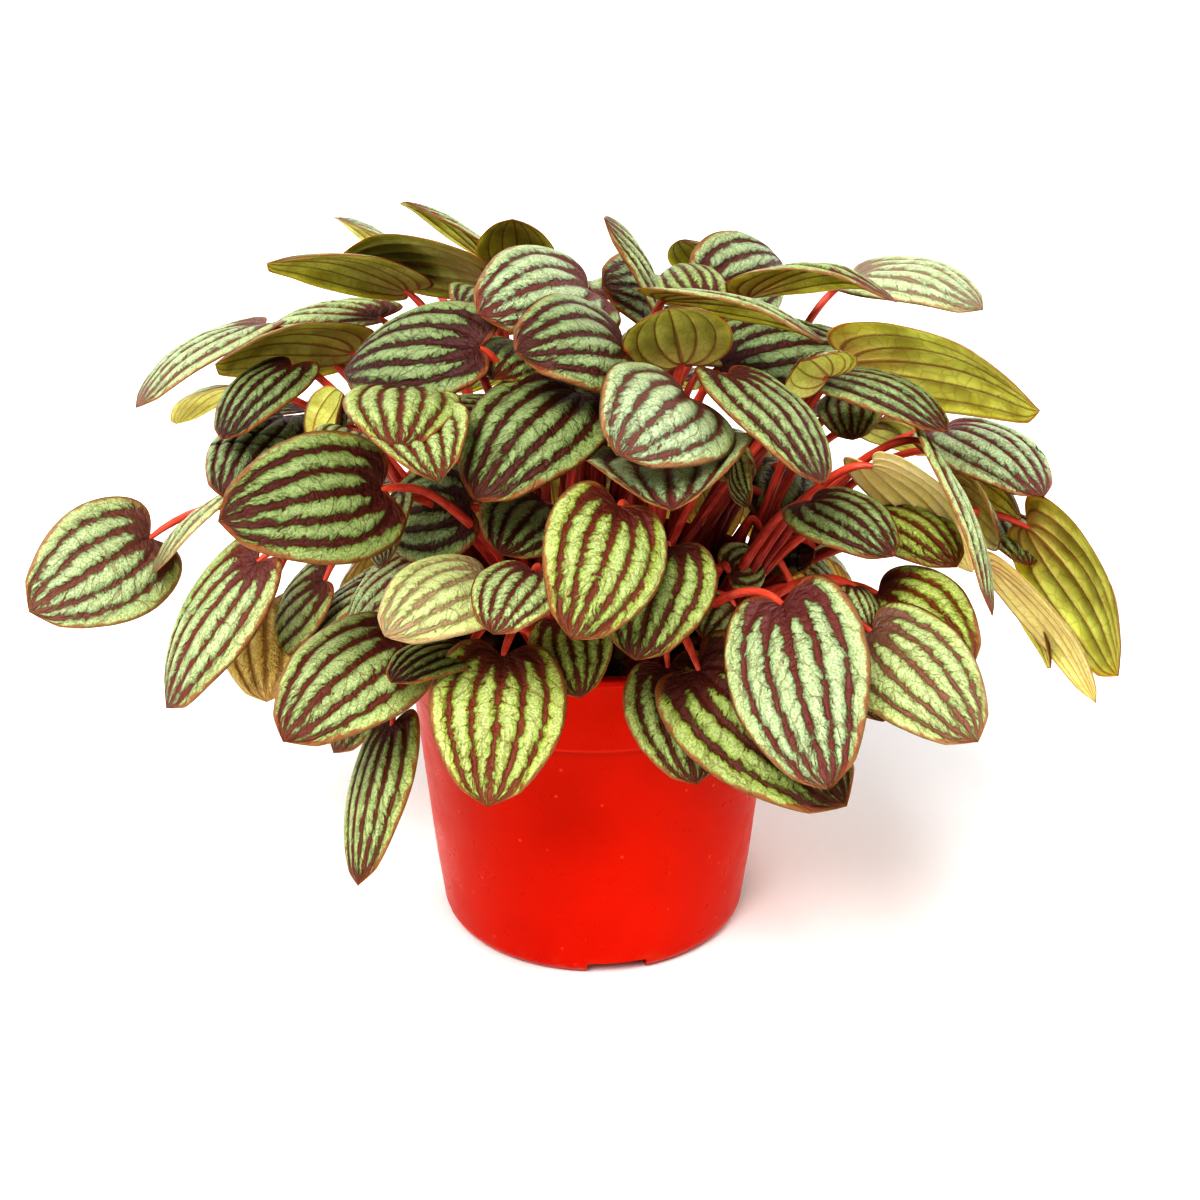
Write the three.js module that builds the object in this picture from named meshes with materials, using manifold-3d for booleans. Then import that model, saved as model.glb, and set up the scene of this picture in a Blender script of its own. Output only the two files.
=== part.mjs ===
// A potted peperomia with ribbed, heart-shaped leaves on red leaf stalks, in a red plastic nursery pot.
// Millimetres, +Z up. The origin is the middle of the pot's foot, on the surface that it stands on, and
// the plant's best side faces -Y.
import * as THREE from 'three';
import { mergeVertices } from 'three/addons/utils/BufferGeometryUtils.js';
import Module from 'manifold-3d';

const wasm = await Module();
wasm.setup();

// ---------- driving dimensions ----------

const POT = {
  rimRadius: 60,        // a 12 cm pot, over its lip
  footRadius: 47,
  height: 106,
  wall: 1.4,
  lipWidth: 1.6,        // the lip stands out this far from the collar
  lipHeight: 2.4,
  collarHeight: 24,     // the straighter band under the lip
  collarStep: 0.9,      // from the collar in to the body
  heelRadius: 5,        // the rounded edge where wall and floor meet
  floorThickness: 6,
  channelWidth: 18,     // channels under the floor, which show as notches in the pot's foot
  channelHeight: 4.4,
  channelStart: 20,     // so far out from the middle
  channelCount: 4,
  firstChannel: -81,    // degrees from +X, so one notch shows at the front
  drainRadius: 4,       // one hole in each channel
  drainRing: 30,
  sides: 36,
};

const SOIL = {
  top: 92,
  gap: 0.3,             // clear of the pot's wall and floor
  sides: 30,
  holeGap: 0.5,         // round each stem
};

const CROWN = { radius: 4.6, top: 4, below: 7.5, height: 8, sides: 8, firstStalk: 1.5, nextStalk: 0.8, stalkRing: 2.4 };
const CROWN_RINGS = [{ count: 10, radius: 38 }, { count: 5, radius: 18 }];
const STALK = { footRadius: 2, endRadius: 1.35, steps: 3, rise: 0.16, overLip: 146 };
const BLADE = { thickness: 0.8, lobe: 0.19, spread: 1.6, rows: [0.1, 0.34, 0.62, 0.86] };

// ---------- how the plant was measured ----------

// Points of the plant were read from a photograph 1200 pixels square, as [across, down], with how far each
// lies behind the pot's middle. The camera stood this far off, looking down on the pot from the front.
const CAMERA = { distance: 700, lookDown: 25, aimX: 2.1, aimZ: 102.7, focalPixels: 2337, middle: 600 };

// One row a leaf. at is where the stalk meets the blade and tip is the blade's point, both
// read from the photograph; y is how far at lies behind the pot's middle; lean is -1 where the tip is
// nearer than that and 1 where it is further. turn rolls the blade about its midrib, in degrees: 0 shows
// the upper side as squarely as it goes, and beyond 90 the underside shows. Positive turns face the upper
// side clockwise of the tip. arch lifts the midrib's middle and cup drops the two sides.
const SEEN = [
  { at: [783, 605], y: -86, tip: [830, 790], lean: -1, length: 52, width: 39, turn: 15, arch: 4, cup: 3 },
  { at: [699, 671], y: -80, tip: [847, 806], lean: -1, length: 54, width: 39, turn: -15, arch: 5, cup: 3 },

  { at: [872, 632], y: -76, tip: [978, 742], lean: -1, length: 43, width: 33, turn: -20, arch: 4, cup: 3 },
  { at: [878, 594], y: -56, tip: [972, 668], lean: -1, length: 38, width: 32, turn: -20, arch: 4, cup: 3 },

  { at: [503, 657], y: -84, tip: [487, 807], lean: -1, length: 42, width: 36, turn: 0, arch: 3, cup: 2 },
  { at: [566, 622], y: -66, tip: [581, 698], lean: -1, length: 24, width: 23, turn: 0, arch: 3, cup: 2 },

  { at: [619, 508], y: -88, tip: [571, 640], lean: -1, length: 41, width: 33, turn: -12, arch: 4, cup: 3 },
  { at: [668, 548], y: -76, tip: [635, 661], lean: -1, length: 34, width: 31, turn: 5, arch: 4, cup: 3 },

  { at: [486, 578], y: -80, tip: [385, 637], lean: -1, length: 38, width: 30, turn: 35, arch: 5, cup: 4 },
  { at: [533, 573], y: -90, tip: [492, 634], lean: -1, length: 26, width: 24, turn: 25, arch: 3, cup: 2 },

  { at: [400, 640], y: -62, tip: [283, 742], lean: -1, length: 46, width: 37, turn: 30, arch: 5, cup: 4 },
  { at: [468, 650], y: -74, tip: [391, 683], lean: -1, length: 30, width: 22, turn: 55, arch: 3, cup: 2 },

  { at: [392, 726], y: -62, tip: [358, 886], lean: -1, length: 48, width: 22, turn: 40, arch: 3, cup: 4 },
  { at: [325, 580], y: -4, tip: [272, 650], lean: 1, length: 36, width: 28, turn: 60, arch: 4, cup: 4 },

  { at: [668, 668], y: -66, tip: [697, 785], lean: -1, length: 34, width: 29, turn: 0, arch: 3, cup: 2 },
  { at: [735, 608], y: -56, tip: [704, 640], lean: -1, length: 20, width: 20, turn: 10, arch: 2, cup: 2 },

  { at: [856, 588], y: -60, tip: [872, 632], lean: -1, length: 15, width: 12, turn: -40, arch: 2, cup: 3 },
  { at: [862, 655], y: -60, tip: [883, 722], lean: -1, length: 22, width: 22, turn: -20, arch: 2, cup: 2 },

  { at: [380, 490], y: -70, tip: [218, 521], lean: -1, length: 47, width: 36, turn: 12, arch: 6, cup: 4, crown: 14 },
  { at: [395, 500], y: -44, tip: [385, 567], lean: -1, length: 24, width: 20, turn: 60, arch: 2, cup: 2, crown: 14 },

  { at: [258, 562], y: -16, tip: [166, 708], lean: 1, length: 53, width: 33, turn: 48, arch: 5, cup: 4 },
  { at: [268, 603], y: 12, tip: [267, 702], lean: -1, length: 34, width: 30, turn: 10, arch: 3, cup: 3 },

  { at: [150, 538], y: 6, tip: [29, 612], lean: -1, length: 44, width: 38, turn: 8, arch: 4, cup: 3 },
  { at: [238, 492], y: 22, tip: [154, 573], lean: -1, length: 42, width: 28, turn: 84, arch: 4, cup: 3 },

  { at: [285, 418], y: 20, tip: [222, 497], lean: -1, length: 42, width: 30, turn: 40, arch: 5, cup: 4 },
  { at: [306, 410], y: 42, tip: [240, 424], lean: 1, length: 32, width: 18, turn: 84, arch: 3, cup: 2 },

  { at: [292, 366], y: 14, tip: [222, 440], lean: -1, length: 36, width: 25, turn: 48, arch: 4, cup: 3 },
  { at: [238, 388], y: 46, tip: [177, 424], lean: 1, length: 34, width: 22, turn: 112, arch: 4, cup: 3 },

  { at: [352, 432], y: -20, tip: [335, 455], lean: -1, length: 22, width: 18, turn: 20, arch: 2, cup: 2 },
  { at: [320, 445], y: -6, tip: [343, 393], lean: -1, length: 26, width: 20, turn: 120, arch: 3, cup: 7 },

  { at: [262, 327], y: 40, tip: [136, 408], lean: -1, length: 48, width: 28, turn: 70, arch: 6, cup: 3 },
  { at: [350, 352], y: 32, tip: [215, 364], lean: -1, length: 46, width: 34, turn: 118, arch: 5, cup: 4 },

  { at: [378, 318], y: 44, tip: [262, 333], lean: 1, length: 44, width: 30, turn: 75, arch: 5, cup: 3 },
  { at: [404, 290], y: 34, tip: [267, 263], lean: -1, length: 48, width: 30, turn: 112, arch: 4, cup: 3 },

  { at: [479, 348], y: -46, tip: [343, 371], lean: 1, length: 43, width: 33, turn: 40, arch: 6, cup: 4 },
  { at: [530, 350], y: -22, tip: [492, 378], lean: -1, length: 30, width: 26, turn: 35, arch: 3, cup: 3 },

  { at: [482, 278], y: 16, tip: [340, 268], lean: 1, length: 50, width: 36, turn: 120, arch: 4, cup: 3 },
  { at: [490, 300], y: 2, tip: [462, 310], lean: -1, length: 26, width: 20, turn: 45, arch: 3, cup: 2 },

  { at: [402, 264], y: 100, tip: [338, 218], lean: -1, length: 38, width: 24, turn: 102, arch: 3, cup: 2, crown: 5, rise: 24 },
  { at: [492, 262], y: 64, tip: [404, 202], lean: -1, length: 42, width: 30, turn: 98, arch: 3, cup: 3 },

  { at: [588, 290], y: -16, tip: [478, 316], lean: -1, length: 42, width: 36, turn: 35, arch: 6, cup: 4 },
  { at: [518, 275], y: 46, tip: [513, 219], lean: -1, length: 32, width: 24, turn: 170, arch: 3, cup: 3 },

  { at: [621, 349], y: -42, tip: [515, 352], lean: -1, length: 37, width: 35, turn: 38, arch: 6, cup: 4 },
  { at: [662, 346], y: -28, tip: [630, 332], lean: 1, length: 24, width: 20, turn: 40, arch: 3, cup: 3 },

  { at: [688, 399], y: -56, tip: [618, 456], lean: -1, length: 40, width: 38, turn: 15, arch: 6, cup: 4 },
  { at: [682, 362], y: -34, tip: [668, 308], lean: -1, length: 28, width: 30, turn: 175, arch: 3, cup: 3 },

  { at: [574, 393], y: -48, tip: [474, 501], lean: -1, length: 46, width: 36, turn: 28, arch: 6, cup: 4 },
  { at: [545, 505], y: -46, tip: [500, 555], lean: -1, length: 32, width: 28, turn: 20, arch: 3, cup: 3 },

  { at: [404, 390], y: -52, tip: [399, 449], lean: -1, length: 32, width: 31, turn: 5, arch: 4, cup: 3, crown: 14 },
  { at: [412, 428], y: -62, tip: [440, 482], lean: -1, length: 33, width: 27, turn: -15, arch: 4, cup: -3, crown: 14 },

  { at: [470, 507], y: -40, tip: [378, 520], lean: 1, length: 34, width: 31, turn: 20, arch: 3, cup: 3, crown: 14 },

  { at: [668, 466], y: -54, tip: [672, 511], lean: -1, length: 38, width: 45, turn: 0, arch: 3, cup: -6 },
  { at: [735, 462], y: -46, tip: [750, 505], lean: -1, length: 18, width: 12, turn: 50, arch: 2, cup: 2 },

  { at: [728, 376], y: -52, tip: [823, 485], lean: -1, length: 46, width: 28, turn: -52, arch: 5, cup: 3 },
  { at: [828, 376], y: -30, tip: [800, 362], lean: -1, length: 16, width: 22, turn: 145, arch: 3, cup: 5 },

  { at: [721, 366], y: 5, tip: [858, 352], lean: 1, length: 46, width: 36, turn: -45, arch: 5, cup: 4 },
  { at: [862, 352], y: 38, tip: [800, 345], lean: -1, length: 30, width: 22, turn: 60, arch: 3, cup: 2, crown: 11 },

  { at: [665, 300], y: -8, tip: [826, 343], lean: -1, length: 50, width: 34, turn: -96, arch: 5, cup: 4 },
  { at: [652, 305], y: 52, tip: [602, 286], lean: -1, length: 36, width: 28, turn: 42, arch: 5, cup: 4 },

  { at: [662, 312], y: 18, tip: [604, 219], lean: -1, length: 40, width: 28, turn: 78, arch: 3, cup: 3 },
  { at: [702, 300], y: 32, tip: [672, 268], lean: 1, length: 32, width: 20, turn: 30, arch: 4, cup: 3, crown: 12 },

  { at: [710, 290], y: 56, tip: [782, 262], lean: 1, length: 38, width: 32, turn: -8, arch: 4, cup: 3, crown: 12 },
  { at: [706, 268], y: 82, tip: [680, 240], lean: -1, length: 22, width: 18, turn: 140, arch: 2, cup: 3, crown: 4 },

  { at: [752, 296], y: 46, tip: [897, 303], lean: -1, length: 49, width: 36, turn: -98, arch: 9, cup: 4, crown: 12 },
  { at: [857, 278], y: 66, tip: [983, 310], lean: -1, length: 44, width: 34, turn: -62, arch: 6, cup: 3 },

  { at: [855, 362], y: 2, tip: [1040, 411], lean: -1, length: 59, width: 42, turn: -120, arch: 6, cup: 4 },
  { at: [850, 395], y: 16, tip: [852, 440], lean: -1, length: 24, width: 20, turn: 0, arch: 2, cup: 2 },

  { at: [946, 430], y: 26, tip: [1044, 497], lean: -1, length: 44, width: 34, turn: -52, arch: 5, cup: 4 },
  { at: [940, 452], y: 34, tip: [1022, 517], lean: -1, length: 40, width: 30, turn: -115, arch: 4, cup: 3 },

  { at: [826, 378], y: -14, tip: [948, 432], lean: -1, length: 44, width: 27, turn: -62, arch: 5, cup: 3 },
  { at: [880, 420], y: 44, tip: [940, 455], lean: 1, length: 32, width: 28, turn: -125, arch: 3, cup: 3 },

  { at: [873, 466], y: -42, tip: [972, 573], lean: 1, length: 46, width: 29, turn: -125, arch: 5, cup: 3 },
  { at: [925, 442], y: -30, tip: [992, 616], lean: -1, length: 55, width: 34, turn: -84, arch: 4, cup: 3 },

  { at: [955, 490], y: 12, tip: [1000, 540], lean: -1, length: 36, width: 24, turn: -118, arch: 3, cup: 3 },
  { at: [1005, 518], y: 24, tip: [1030, 566], lean: -1, length: 26, width: 18, turn: -30, arch: 2, cup: 2 },

  { at: [1029, 528], y: 0, tip: [1118, 676], lean: -1, length: 53, width: 40, turn: -124, arch: 5, cup: 4 },
  { at: [1010, 590], y: 6, tip: [1051, 668], lean: -1, length: 34, width: 16, turn: -110, arch: 3, cup: 2 },

  { at: [991, 566], y: -22, tip: [1096, 703], lean: 1, length: 51, width: 32, turn: -108, arch: 4, cup: 3 },
  { at: [866, 510], y: -28, tip: [957, 567], lean: -1, length: 36, width: 30, turn: -50, arch: 4, cup: 3 },

  { at: [811, 503], y: -46, tip: [893, 557], lean: -1, length: 34, width: 25, turn: -40, arch: 4, cup: 3 },
  { at: [850, 505], y: 0, tip: [915, 520], lean: -1, length: 30, width: 22, turn: -60, arch: 3, cup: 3 },

  { at: [729, 572], y: -34, tip: [763, 560], lean: 1, length: 18, width: 16, turn: -10, arch: 2, cup: 2 },
  { at: [815, 548], y: -18, tip: [768, 532], lean: 1, length: 26, width: 24, turn: 20, arch: 3, cup: 3 },

  { at: [790, 470], y: 50, tip: [770, 525], lean: -1, length: 36, width: 30, turn: 0, arch: 3, cup: 3 },
];

// The back of the plant and the young leaves over its middle: arcs of leaves round the pot's axis. Every
// other leaf of an arc stands further in and higher, so that neighbours lie over each other like tiles.
// Angles are from +X towards +Y.
const ARCS = [
  { count: 7, from: 44, to: 136, reach: 84, height: 118, length: 46, width: 36, droop: 34 },
  { count: 7, from: 37, to: 146, reach: 80, height: 146, length: 46, width: 35, droop: 24 },
  { count: 5, from: 66, to: 122, reach: 62, height: 168, length: 42, width: 33, droop: 14 },
  { count: 5, from: -175, to: 90, reach: 26, height: 162, length: 36, width: 28, droop: 12 },
  { count: 7, from: 42, to: 150, reach: 69, height: 112, length: 42, width: 33, droop: 58 },
];
const STAGGER = { inward: 14, up: 15 };

// ---------- small helpers ----------

const radians = THREE.MathUtils.degToRad;
const vector = (x, y, z) => new THREE.Vector3(x, y, z);

// Minimal standard random numbers, so that every run grows the same plant.
function seededRandom(seed) {
  let state = seed;
  return () => {
    state = (state * 16807) % 2147483647;
    return state / 2147483647;
  };
}

function solidOf(geometry) {
  const bare = geometry.clone();
  bare.deleteAttribute('normal');
  bare.deleteAttribute('uv');
  const merged = mergeVertices(bare, 1e-4);
  return new wasm.Manifold(new wasm.Mesh({
    numProp: 3,
    vertProperties: new Float32Array(merged.attributes.position.array),
    triVerts: new Uint32Array(merged.index.array),
  }));
}

function geometryOf(solid) {
  const mesh = solid.getMesh();
  const geometry = new THREE.BufferGeometry();
  geometry.setAttribute('position', new THREE.BufferAttribute(new Float32Array(mesh.vertProperties), 3));
  geometry.setIndex(new THREE.BufferAttribute(new Uint32Array(mesh.triVerts), 1));
  return geometry.toNonIndexed();
}

// A lathe turned about Z: the profile is [radius, height] points, anticlockwise seen with the axis on the left.
function turned(profile, sides) {
  const points = profile.map(([r, z]) => new THREE.Vector2(r, z));
  return new THREE.LatheGeometry(points, sides).rotateX(Math.PI / 2);
}

// ---------- reading the photograph ----------

const view = (() => {
  const tilt = radians(CAMERA.lookDown);
  const forward = vector(0, Math.cos(tilt), -Math.sin(tilt));
  const up = vector(0, Math.sin(tilt), Math.cos(tilt));
  const aim = vector(CAMERA.aimX, 0, CAMERA.aimZ);
  return { forward, up, eye: aim.addScaledVector(forward, -CAMERA.distance) };
})();

function sightLine([across, down]) {
  const x = (across - CAMERA.middle) / CAMERA.focalPixels;
  const y = (CAMERA.middle - down) / CAMERA.focalPixels;
  return view.forward.clone().addScaledVector(view.up, y).add(vector(x, 0, 0)).normalize();
}

function pointAtDepth(pixel, y) {
  const line = sightLine(pixel);
  return view.eye.clone().addScaledVector(line, (y - view.eye.y) / line.y);
}

// The point of a sight line that lies length from start, on its nearer (-1) or further (1) crossing. Where
// the line passes further off than that, its nearest point.
function pointAtLength(pixel, start, length, lean) {
  const line = sightLine(pixel);
  const along = start.clone().sub(view.eye).dot(line);
  const nearest = view.eye.clone().addScaledVector(line, along);
  const spare = length * length - nearest.distanceToSquared(start);
  return nearest.addScaledVector(line, lean * Math.sqrt(Math.max(spare, 0)));
}

// ---------- where the leaves stand ----------

function seenLeaf(row) {
  const base = pointAtDepth(row.at, row.y);
  const tip = pointAtLength(row.tip, base, row.length, row.lean);
  const along = tip.clone().sub(base).normalize();
  const face = base.clone().lerp(tip, 0.5).sub(view.eye).negate();
  face.addScaledVector(along, -face.dot(along)).applyAxisAngle(along, radians(row.turn));
  return { ...row, base, tip, face };
}

function arcLeaves() {
  const random = seededRandom(7);
  return ARCS.flatMap((arc) => Array.from({ length: arc.count }, (_, i) => {
    const inner = i % 2;
    const angle = radians(arc.from + (arc.to - arc.from) * i / (arc.count - 1) + 4 * (random() - 0.5));
    const out = vector(Math.cos(angle), Math.sin(angle), 0);
    const base = out.clone().multiplyScalar(arc.reach - STAGGER.inward * inner);
    base.z = arc.height + STAGGER.up * inner + 3 * (random() - 0.5);
    const droop = radians(arc.droop + 6 * (random() - 0.5));
    const length = arc.length * (0.9 + 0.15 * random());
    const tip = base.clone().addScaledVector(out, length * Math.cos(droop));
    tip.z -= length * Math.sin(droop);
    const face = out.clone().multiplyScalar(Math.sin(droop)).add(vector(0.3 * (random() - 0.5), 0, 1));
    return { base, tip, face, width: arc.width * (0.92 + 0.12 * random()), arch: 5, cup: 3 };
  }));
}

const leaves = [...SEEN.map(seenLeaf), ...arcLeaves()];

// ---------- the leaf blade ----------

// A heart: across is the half width at a share s of the way from stalk to tip, and back is how far the
// lobes reach behind the stalk there.
const heart = {
  across: (s) => Math.sin(Math.PI * s) ** (0.85 - 0.32 * s * s),
  along: (s) => s ** 1.35,
  back: (s) => 12.2 * s * (1 - s) ** 4,
};

function bladeFrame(leaf) {
  const along = leaf.tip.clone().sub(leaf.base);
  const length = along.length();
  along.normalize();
  const normal = leaf.face.clone().addScaledVector(along, -leaf.face.dot(along)).normalize();
  return { along, normal, side: along.clone().cross(normal), length };
}

// The blade's middle surface at s of the way to the tip and t of the way from the midrib (0) to a margin (+-1).
function bladePoint(leaf, frame, s, t) {
  const along = frame.length * (heart.along(s) - BLADE.lobe * heart.back(s) * Math.abs(t) ** BLADE.spread);
  const across = 0.5 * leaf.width * heart.across(s) * t;
  const share = Math.sin(Math.PI * heart.along(s));
  const lift = leaf.arch * share - leaf.cup * t * t * heart.across(s);
  return leaf.base.clone()
    .addScaledVector(frame.along, along)
    .addScaledVector(frame.side, across)
    .addScaledVector(frame.normal, lift);
}

// ---------- a leaf: its blade and its stalk in one closed solid ----------

// The blade has an upper and a lower face with the same triangles, and a rim between them. The rim is left
// open at the notch, and the stalk grows out of the four corners there.
function leafSolid(leaf, start) {
  const frame = bladeFrame(leaf);
  const { along, normal, side } = frame;
  const rows = BLADE.rows.length;
  const notch = (way) => leaf.base.clone().addScaledVector(side, way * STALK.endRadius);
  const middle = [notch(-1), notch(1)];
  BLADE.rows.forEach((s) => [-1, 0, 1].forEach((t) => middle.push(bladePoint(leaf, frame, s, t))));
  middle.push(bladePoint(leaf, frame, 1, 0));

  const tip = middle.length - 1;
  const at = (row, column) => 2 + 3 * row + column;
  const faces = [[0, at(0, 0), at(0, 1)], [0, at(0, 1), 1], [1, at(0, 1), at(0, 2)]];
  for (let c = 0; c < 2; c += 1) {
    for (let r = 0; r < rows - 1; r += 1) {
      faces.push([at(r, c), at(r + 1, c), at(r + 1, c + 1)]);
      faces.push([at(r, c), at(r + 1, c + 1), at(r, c + 1)]);
    }
    faces.push([at(rows - 1, c), tip, at(rows - 1, c + 1)]);
  }
  const rim = [0, ...BLADE.rows.map((_, r) => at(r, 0)), tip, ...BLADE.rows.map((_, r) => at(rows - 1 - r, 2)), 1];

  const half = BLADE.thickness / 2;
  const upper = middle.map((p) => p.clone().addScaledVector(normal, half));
  const lower = middle.map((p) => p.clone().addScaledVector(normal, -half));
  const corners = [];
  const triangle = (a, b, c) => corners.push(...a.toArray(), ...b.toArray(), ...c.toArray());
  faces.forEach(([a, b, c]) => {
    triangle(upper[a], upper[c], upper[b]);
    triangle(lower[a], lower[b], lower[c]);
  });
  for (let i = 0; i < rim.length - 1; i += 1) {
    const [a, b] = [rim[i], rim[i + 1]];
    triangle(upper[a], upper[b], lower[b]);
    triangle(upper[a], lower[b], lower[a]);
  }

  const rings = stalkRings(stalkCurve(leaf, frame, start));
  const mouth = [upper[1], lower[1], lower[0], upper[0]];
  rings.push(leastTwisted(mouth, rings[rings.length - 1]));
  const last = rings.length - 1;
  for (let i = 0; i < last; i += 1) {
    for (let k = 0; k < 4; k += 1) {
      const next = (k + 1) % 4;
      triangle(rings[i][k], rings[i][next], rings[i + 1][next]);
      triangle(rings[i][k], rings[i + 1][next], rings[i + 1][k]);
    }
  }
  triangle(rings[0][0], rings[0][2], rings[0][1]);
  triangle(rings[0][0], rings[0][3], rings[0][2]);

  const geometry = new THREE.BufferGeometry();
  geometry.setAttribute('position', new THREE.Float32BufferAttribute(corners, 3));
  return solidOf(geometry);
}

// The same four corners, starting with the one that gives the least twist from the ring before.
function leastTwisted(mouth, ring) {
  const centre = (points) => points.reduce((sum, p) => sum.add(p), vector(0, 0, 0)).divideScalar(4);
  const shift = centre(mouth).sub(centre(ring));
  const turns = [0, 1, 2, 3].map((turn) => mouth.map((_, k) => mouth[(k + turn) % 4]));
  const twist = (points) => points.reduce((sum, p, k) => sum + ring[k].clone().add(shift).distanceTo(p), 0);
  return turns.reduce((a, b) => (twist(b) < twist(a) ? b : a));
}

// A stalk leaves its stem upwards, arches over and comes to its blade from behind the notch. Where the blade
// hangs low, the arch is higher, so that the stalk passes over the pot's lip.
function stalkCurve(leaf, frame, start) {
  const end = leaf.base.clone();
  const way = end.clone().sub(start);
  const length = way.length();
  const rise = leaf.rise ?? Math.max(STALK.rise * length, STALK.overLip - end.z);
  const low = start.clone().addScaledVector(way, 0.3).add(vector(0, 0, rise));
  const high = end.clone()
    .addScaledVector(way, -0.24)
    .addScaledVector(frame.along, -0.08 * length)
    .add(vector(0, 0, rise));
  return new THREE.CubicBezierCurve3(start, low, high, end);
}

// Rings of four corners along a stalk, tapering, with one pair of sides kept level so that it doesn't twist.
function stalkRings(curve) {
  const stops = Array.from({ length: STALK.steps }, (_, i) => i / STALK.steps);
  return stops.map((stop) => {
    const middle = curve.getPointAt(stop);
    const along = curve.getTangentAt(stop);
    const level = vector(-along.y, along.x, 0);
    if (level.lengthSq() < 1e-4) level.set(1, 0, 0);
    level.normalize();
    const upright = along.clone().cross(level);
    const radius = THREE.MathUtils.lerp(STALK.footRadius, STALK.endRadius, stop);
    return Array.from({ length: 4 }, (_, k) => {
      const angle = Math.PI * (k + 0.5) / 2;
      return middle.clone()
        .addScaledVector(level, radius * Math.cos(angle))
        .addScaledVector(upright, radius * Math.sin(angle));
    });
  });
}

// ---------- stems ----------

// The short, stout stems stand in two rings on the soil.
const crowns = CROWN_RINGS.flatMap(({ count, radius }) => Array.from({ length: count }, (_, i) => {
  const angle = 2 * Math.PI * (i + 0.5) / count - Math.PI / 2;
  return { foot: vector(radius * Math.cos(angle), radius * Math.sin(angle), SOIL.top), leaves: [] };
}));

// A leaf grows from the stem that stands nearest below its stalk's way out: low leaves come from the outer
// ring and steep ones from the inner.
leaves.forEach((leaf) => {
  const reach = Math.hypot(leaf.base.x, leaf.base.y);
  const steep = Math.hypot(reach, leaf.base.z - SOIL.top);
  const wanted = vector(leaf.base.x, leaf.base.y, 0).multiplyScalar(42 / steep);
  const distance = ({ foot }) => Math.hypot(foot.x - wanted.x, foot.y - wanted.y);
  const nearest = crowns.reduce((a, b) => (distance(b) < distance(a) ? b : a));
  const crown = leaf.crown === undefined ? nearest : crowns[leaf.crown];
  crown.leaves.push(leaf);
});

function stalkStart({ foot }, leaf, order) {
  const out = vector(leaf.base.x - foot.x, leaf.base.y - foot.y, 0).setLength(CROWN.stalkRing);
  return foot.clone().add(out).add(vector(0, 0, CROWN.firstStalk + CROWN.nextStalk * order));
}

function stemSolid(crown) {
  const stem = new THREE.CylinderGeometry(CROWN.top, CROWN.radius, CROWN.below + CROWN.height, CROWN.sides)
    .rotateX(Math.PI / 2)
    .translate(crown.foot.x, crown.foot.y, SOIL.top + (CROWN.height - CROWN.below) / 2);
  const grown = crown.leaves.map((leaf, i) => leafSolid(leaf, stalkStart(crown, leaf, i)));
  return grown.reduce((a, b) => a.add(b), solidOf(stem));
}

// ---------- the pot and its soil ----------

function wallRadius(z) {
  const collarFoot = POT.height - POT.collarHeight;
  const top = POT.rimRadius - POT.lipWidth;
  const slope = (top - POT.collarStep - POT.footRadius) / POT.height;
  const body = POT.footRadius + slope * z;
  return z > collarFoot ? body + POT.collarStep : body;
}

function potSolid() {
  const { height, wall, heelRadius, footRadius, floorThickness } = POT;
  const collarFoot = height - POT.collarHeight;
  const lipFoot = height - POT.lipHeight;
  const heel = [];
  for (let i = 0; i <= 3; i += 1) {
    const angle = (Math.PI / 2) * (i / 3);
    heel.push([footRadius - heelRadius * (1 - Math.sin(angle)), heelRadius * (1 - Math.cos(angle))]);
  }
  const profile = [
    [0, 0],
    ...heel,
    [wallRadius(collarFoot - 0.8), collarFoot - 0.8],
    [wallRadius(collarFoot + 0.01), collarFoot],
    [wallRadius(lipFoot), lipFoot - 0.6],
    [POT.rimRadius, lipFoot],
    [POT.rimRadius, height],
    [wallRadius(height) - wall, height],
    [wallRadius(collarFoot - 0.8) - wall, collarFoot - 0.8],
    [wallRadius(floorThickness) - wall - 1, floorThickness],
    [0, floorThickness],
  ];
  let pot = solidOf(turned(profile, POT.sides));
  for (let i = 0; i < POT.channelCount; i += 1) {
    const angle = radians(POT.firstChannel + 360 * i / POT.channelCount);
    const channel = new THREE.BoxGeometry(footRadius, POT.channelWidth, 2 * POT.channelHeight)
      .translate(POT.channelStart + footRadius / 2, 0, 0).rotateZ(angle);
    const drain = new THREE.CylinderGeometry(POT.drainRadius, POT.drainRadius, 4 * floorThickness, 8)
      .rotateX(Math.PI / 2).translate(POT.drainRing, 0, 0).rotateZ(angle);
    pot = pot.subtract(solidOf(channel)).subtract(solidOf(drain));
  }
  return pot;
}

function soilSolid() {
  const foot = POT.floorThickness + SOIL.gap;
  const gap = POT.wall + SOIL.gap + 0.2;
  const collarFoot = POT.height - POT.collarHeight - 0.8;
  let soil = solidOf(turned([
    [0, foot],
    [wallRadius(foot) - gap - 1, foot],
    [wallRadius(collarFoot) - gap, collarFoot],
    [wallRadius(SOIL.top) - gap - 0.4, SOIL.top - 1],
    [wallRadius(SOIL.top) - gap - 3, SOIL.top],
    [0, SOIL.top],
  ], SOIL.sides));
  crowns.forEach(({ foot: { x, y } }) => {
    const radius = CROWN.radius + SOIL.holeGap;
    const hole = new THREE.CylinderGeometry(radius, radius, 2 * (CROWN.below + SOIL.holeGap), CROWN.sides)
      .rotateX(Math.PI / 2)
      .translate(x, y, SOIL.top);
    soil = soil.subtract(solidOf(hole));
  });
  return soil;
}

// ---------- the whole plant ----------

const plant = new THREE.Group();

function addPart(name, solid, colour, roughness) {
  const material = new THREE.MeshStandardMaterial({ color: colour, roughness, metalness: 0 });
  const mesh = new THREE.Mesh(geometryOf(solid), material);
  mesh.name = name;
  plant.add(mesh);
}

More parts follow.
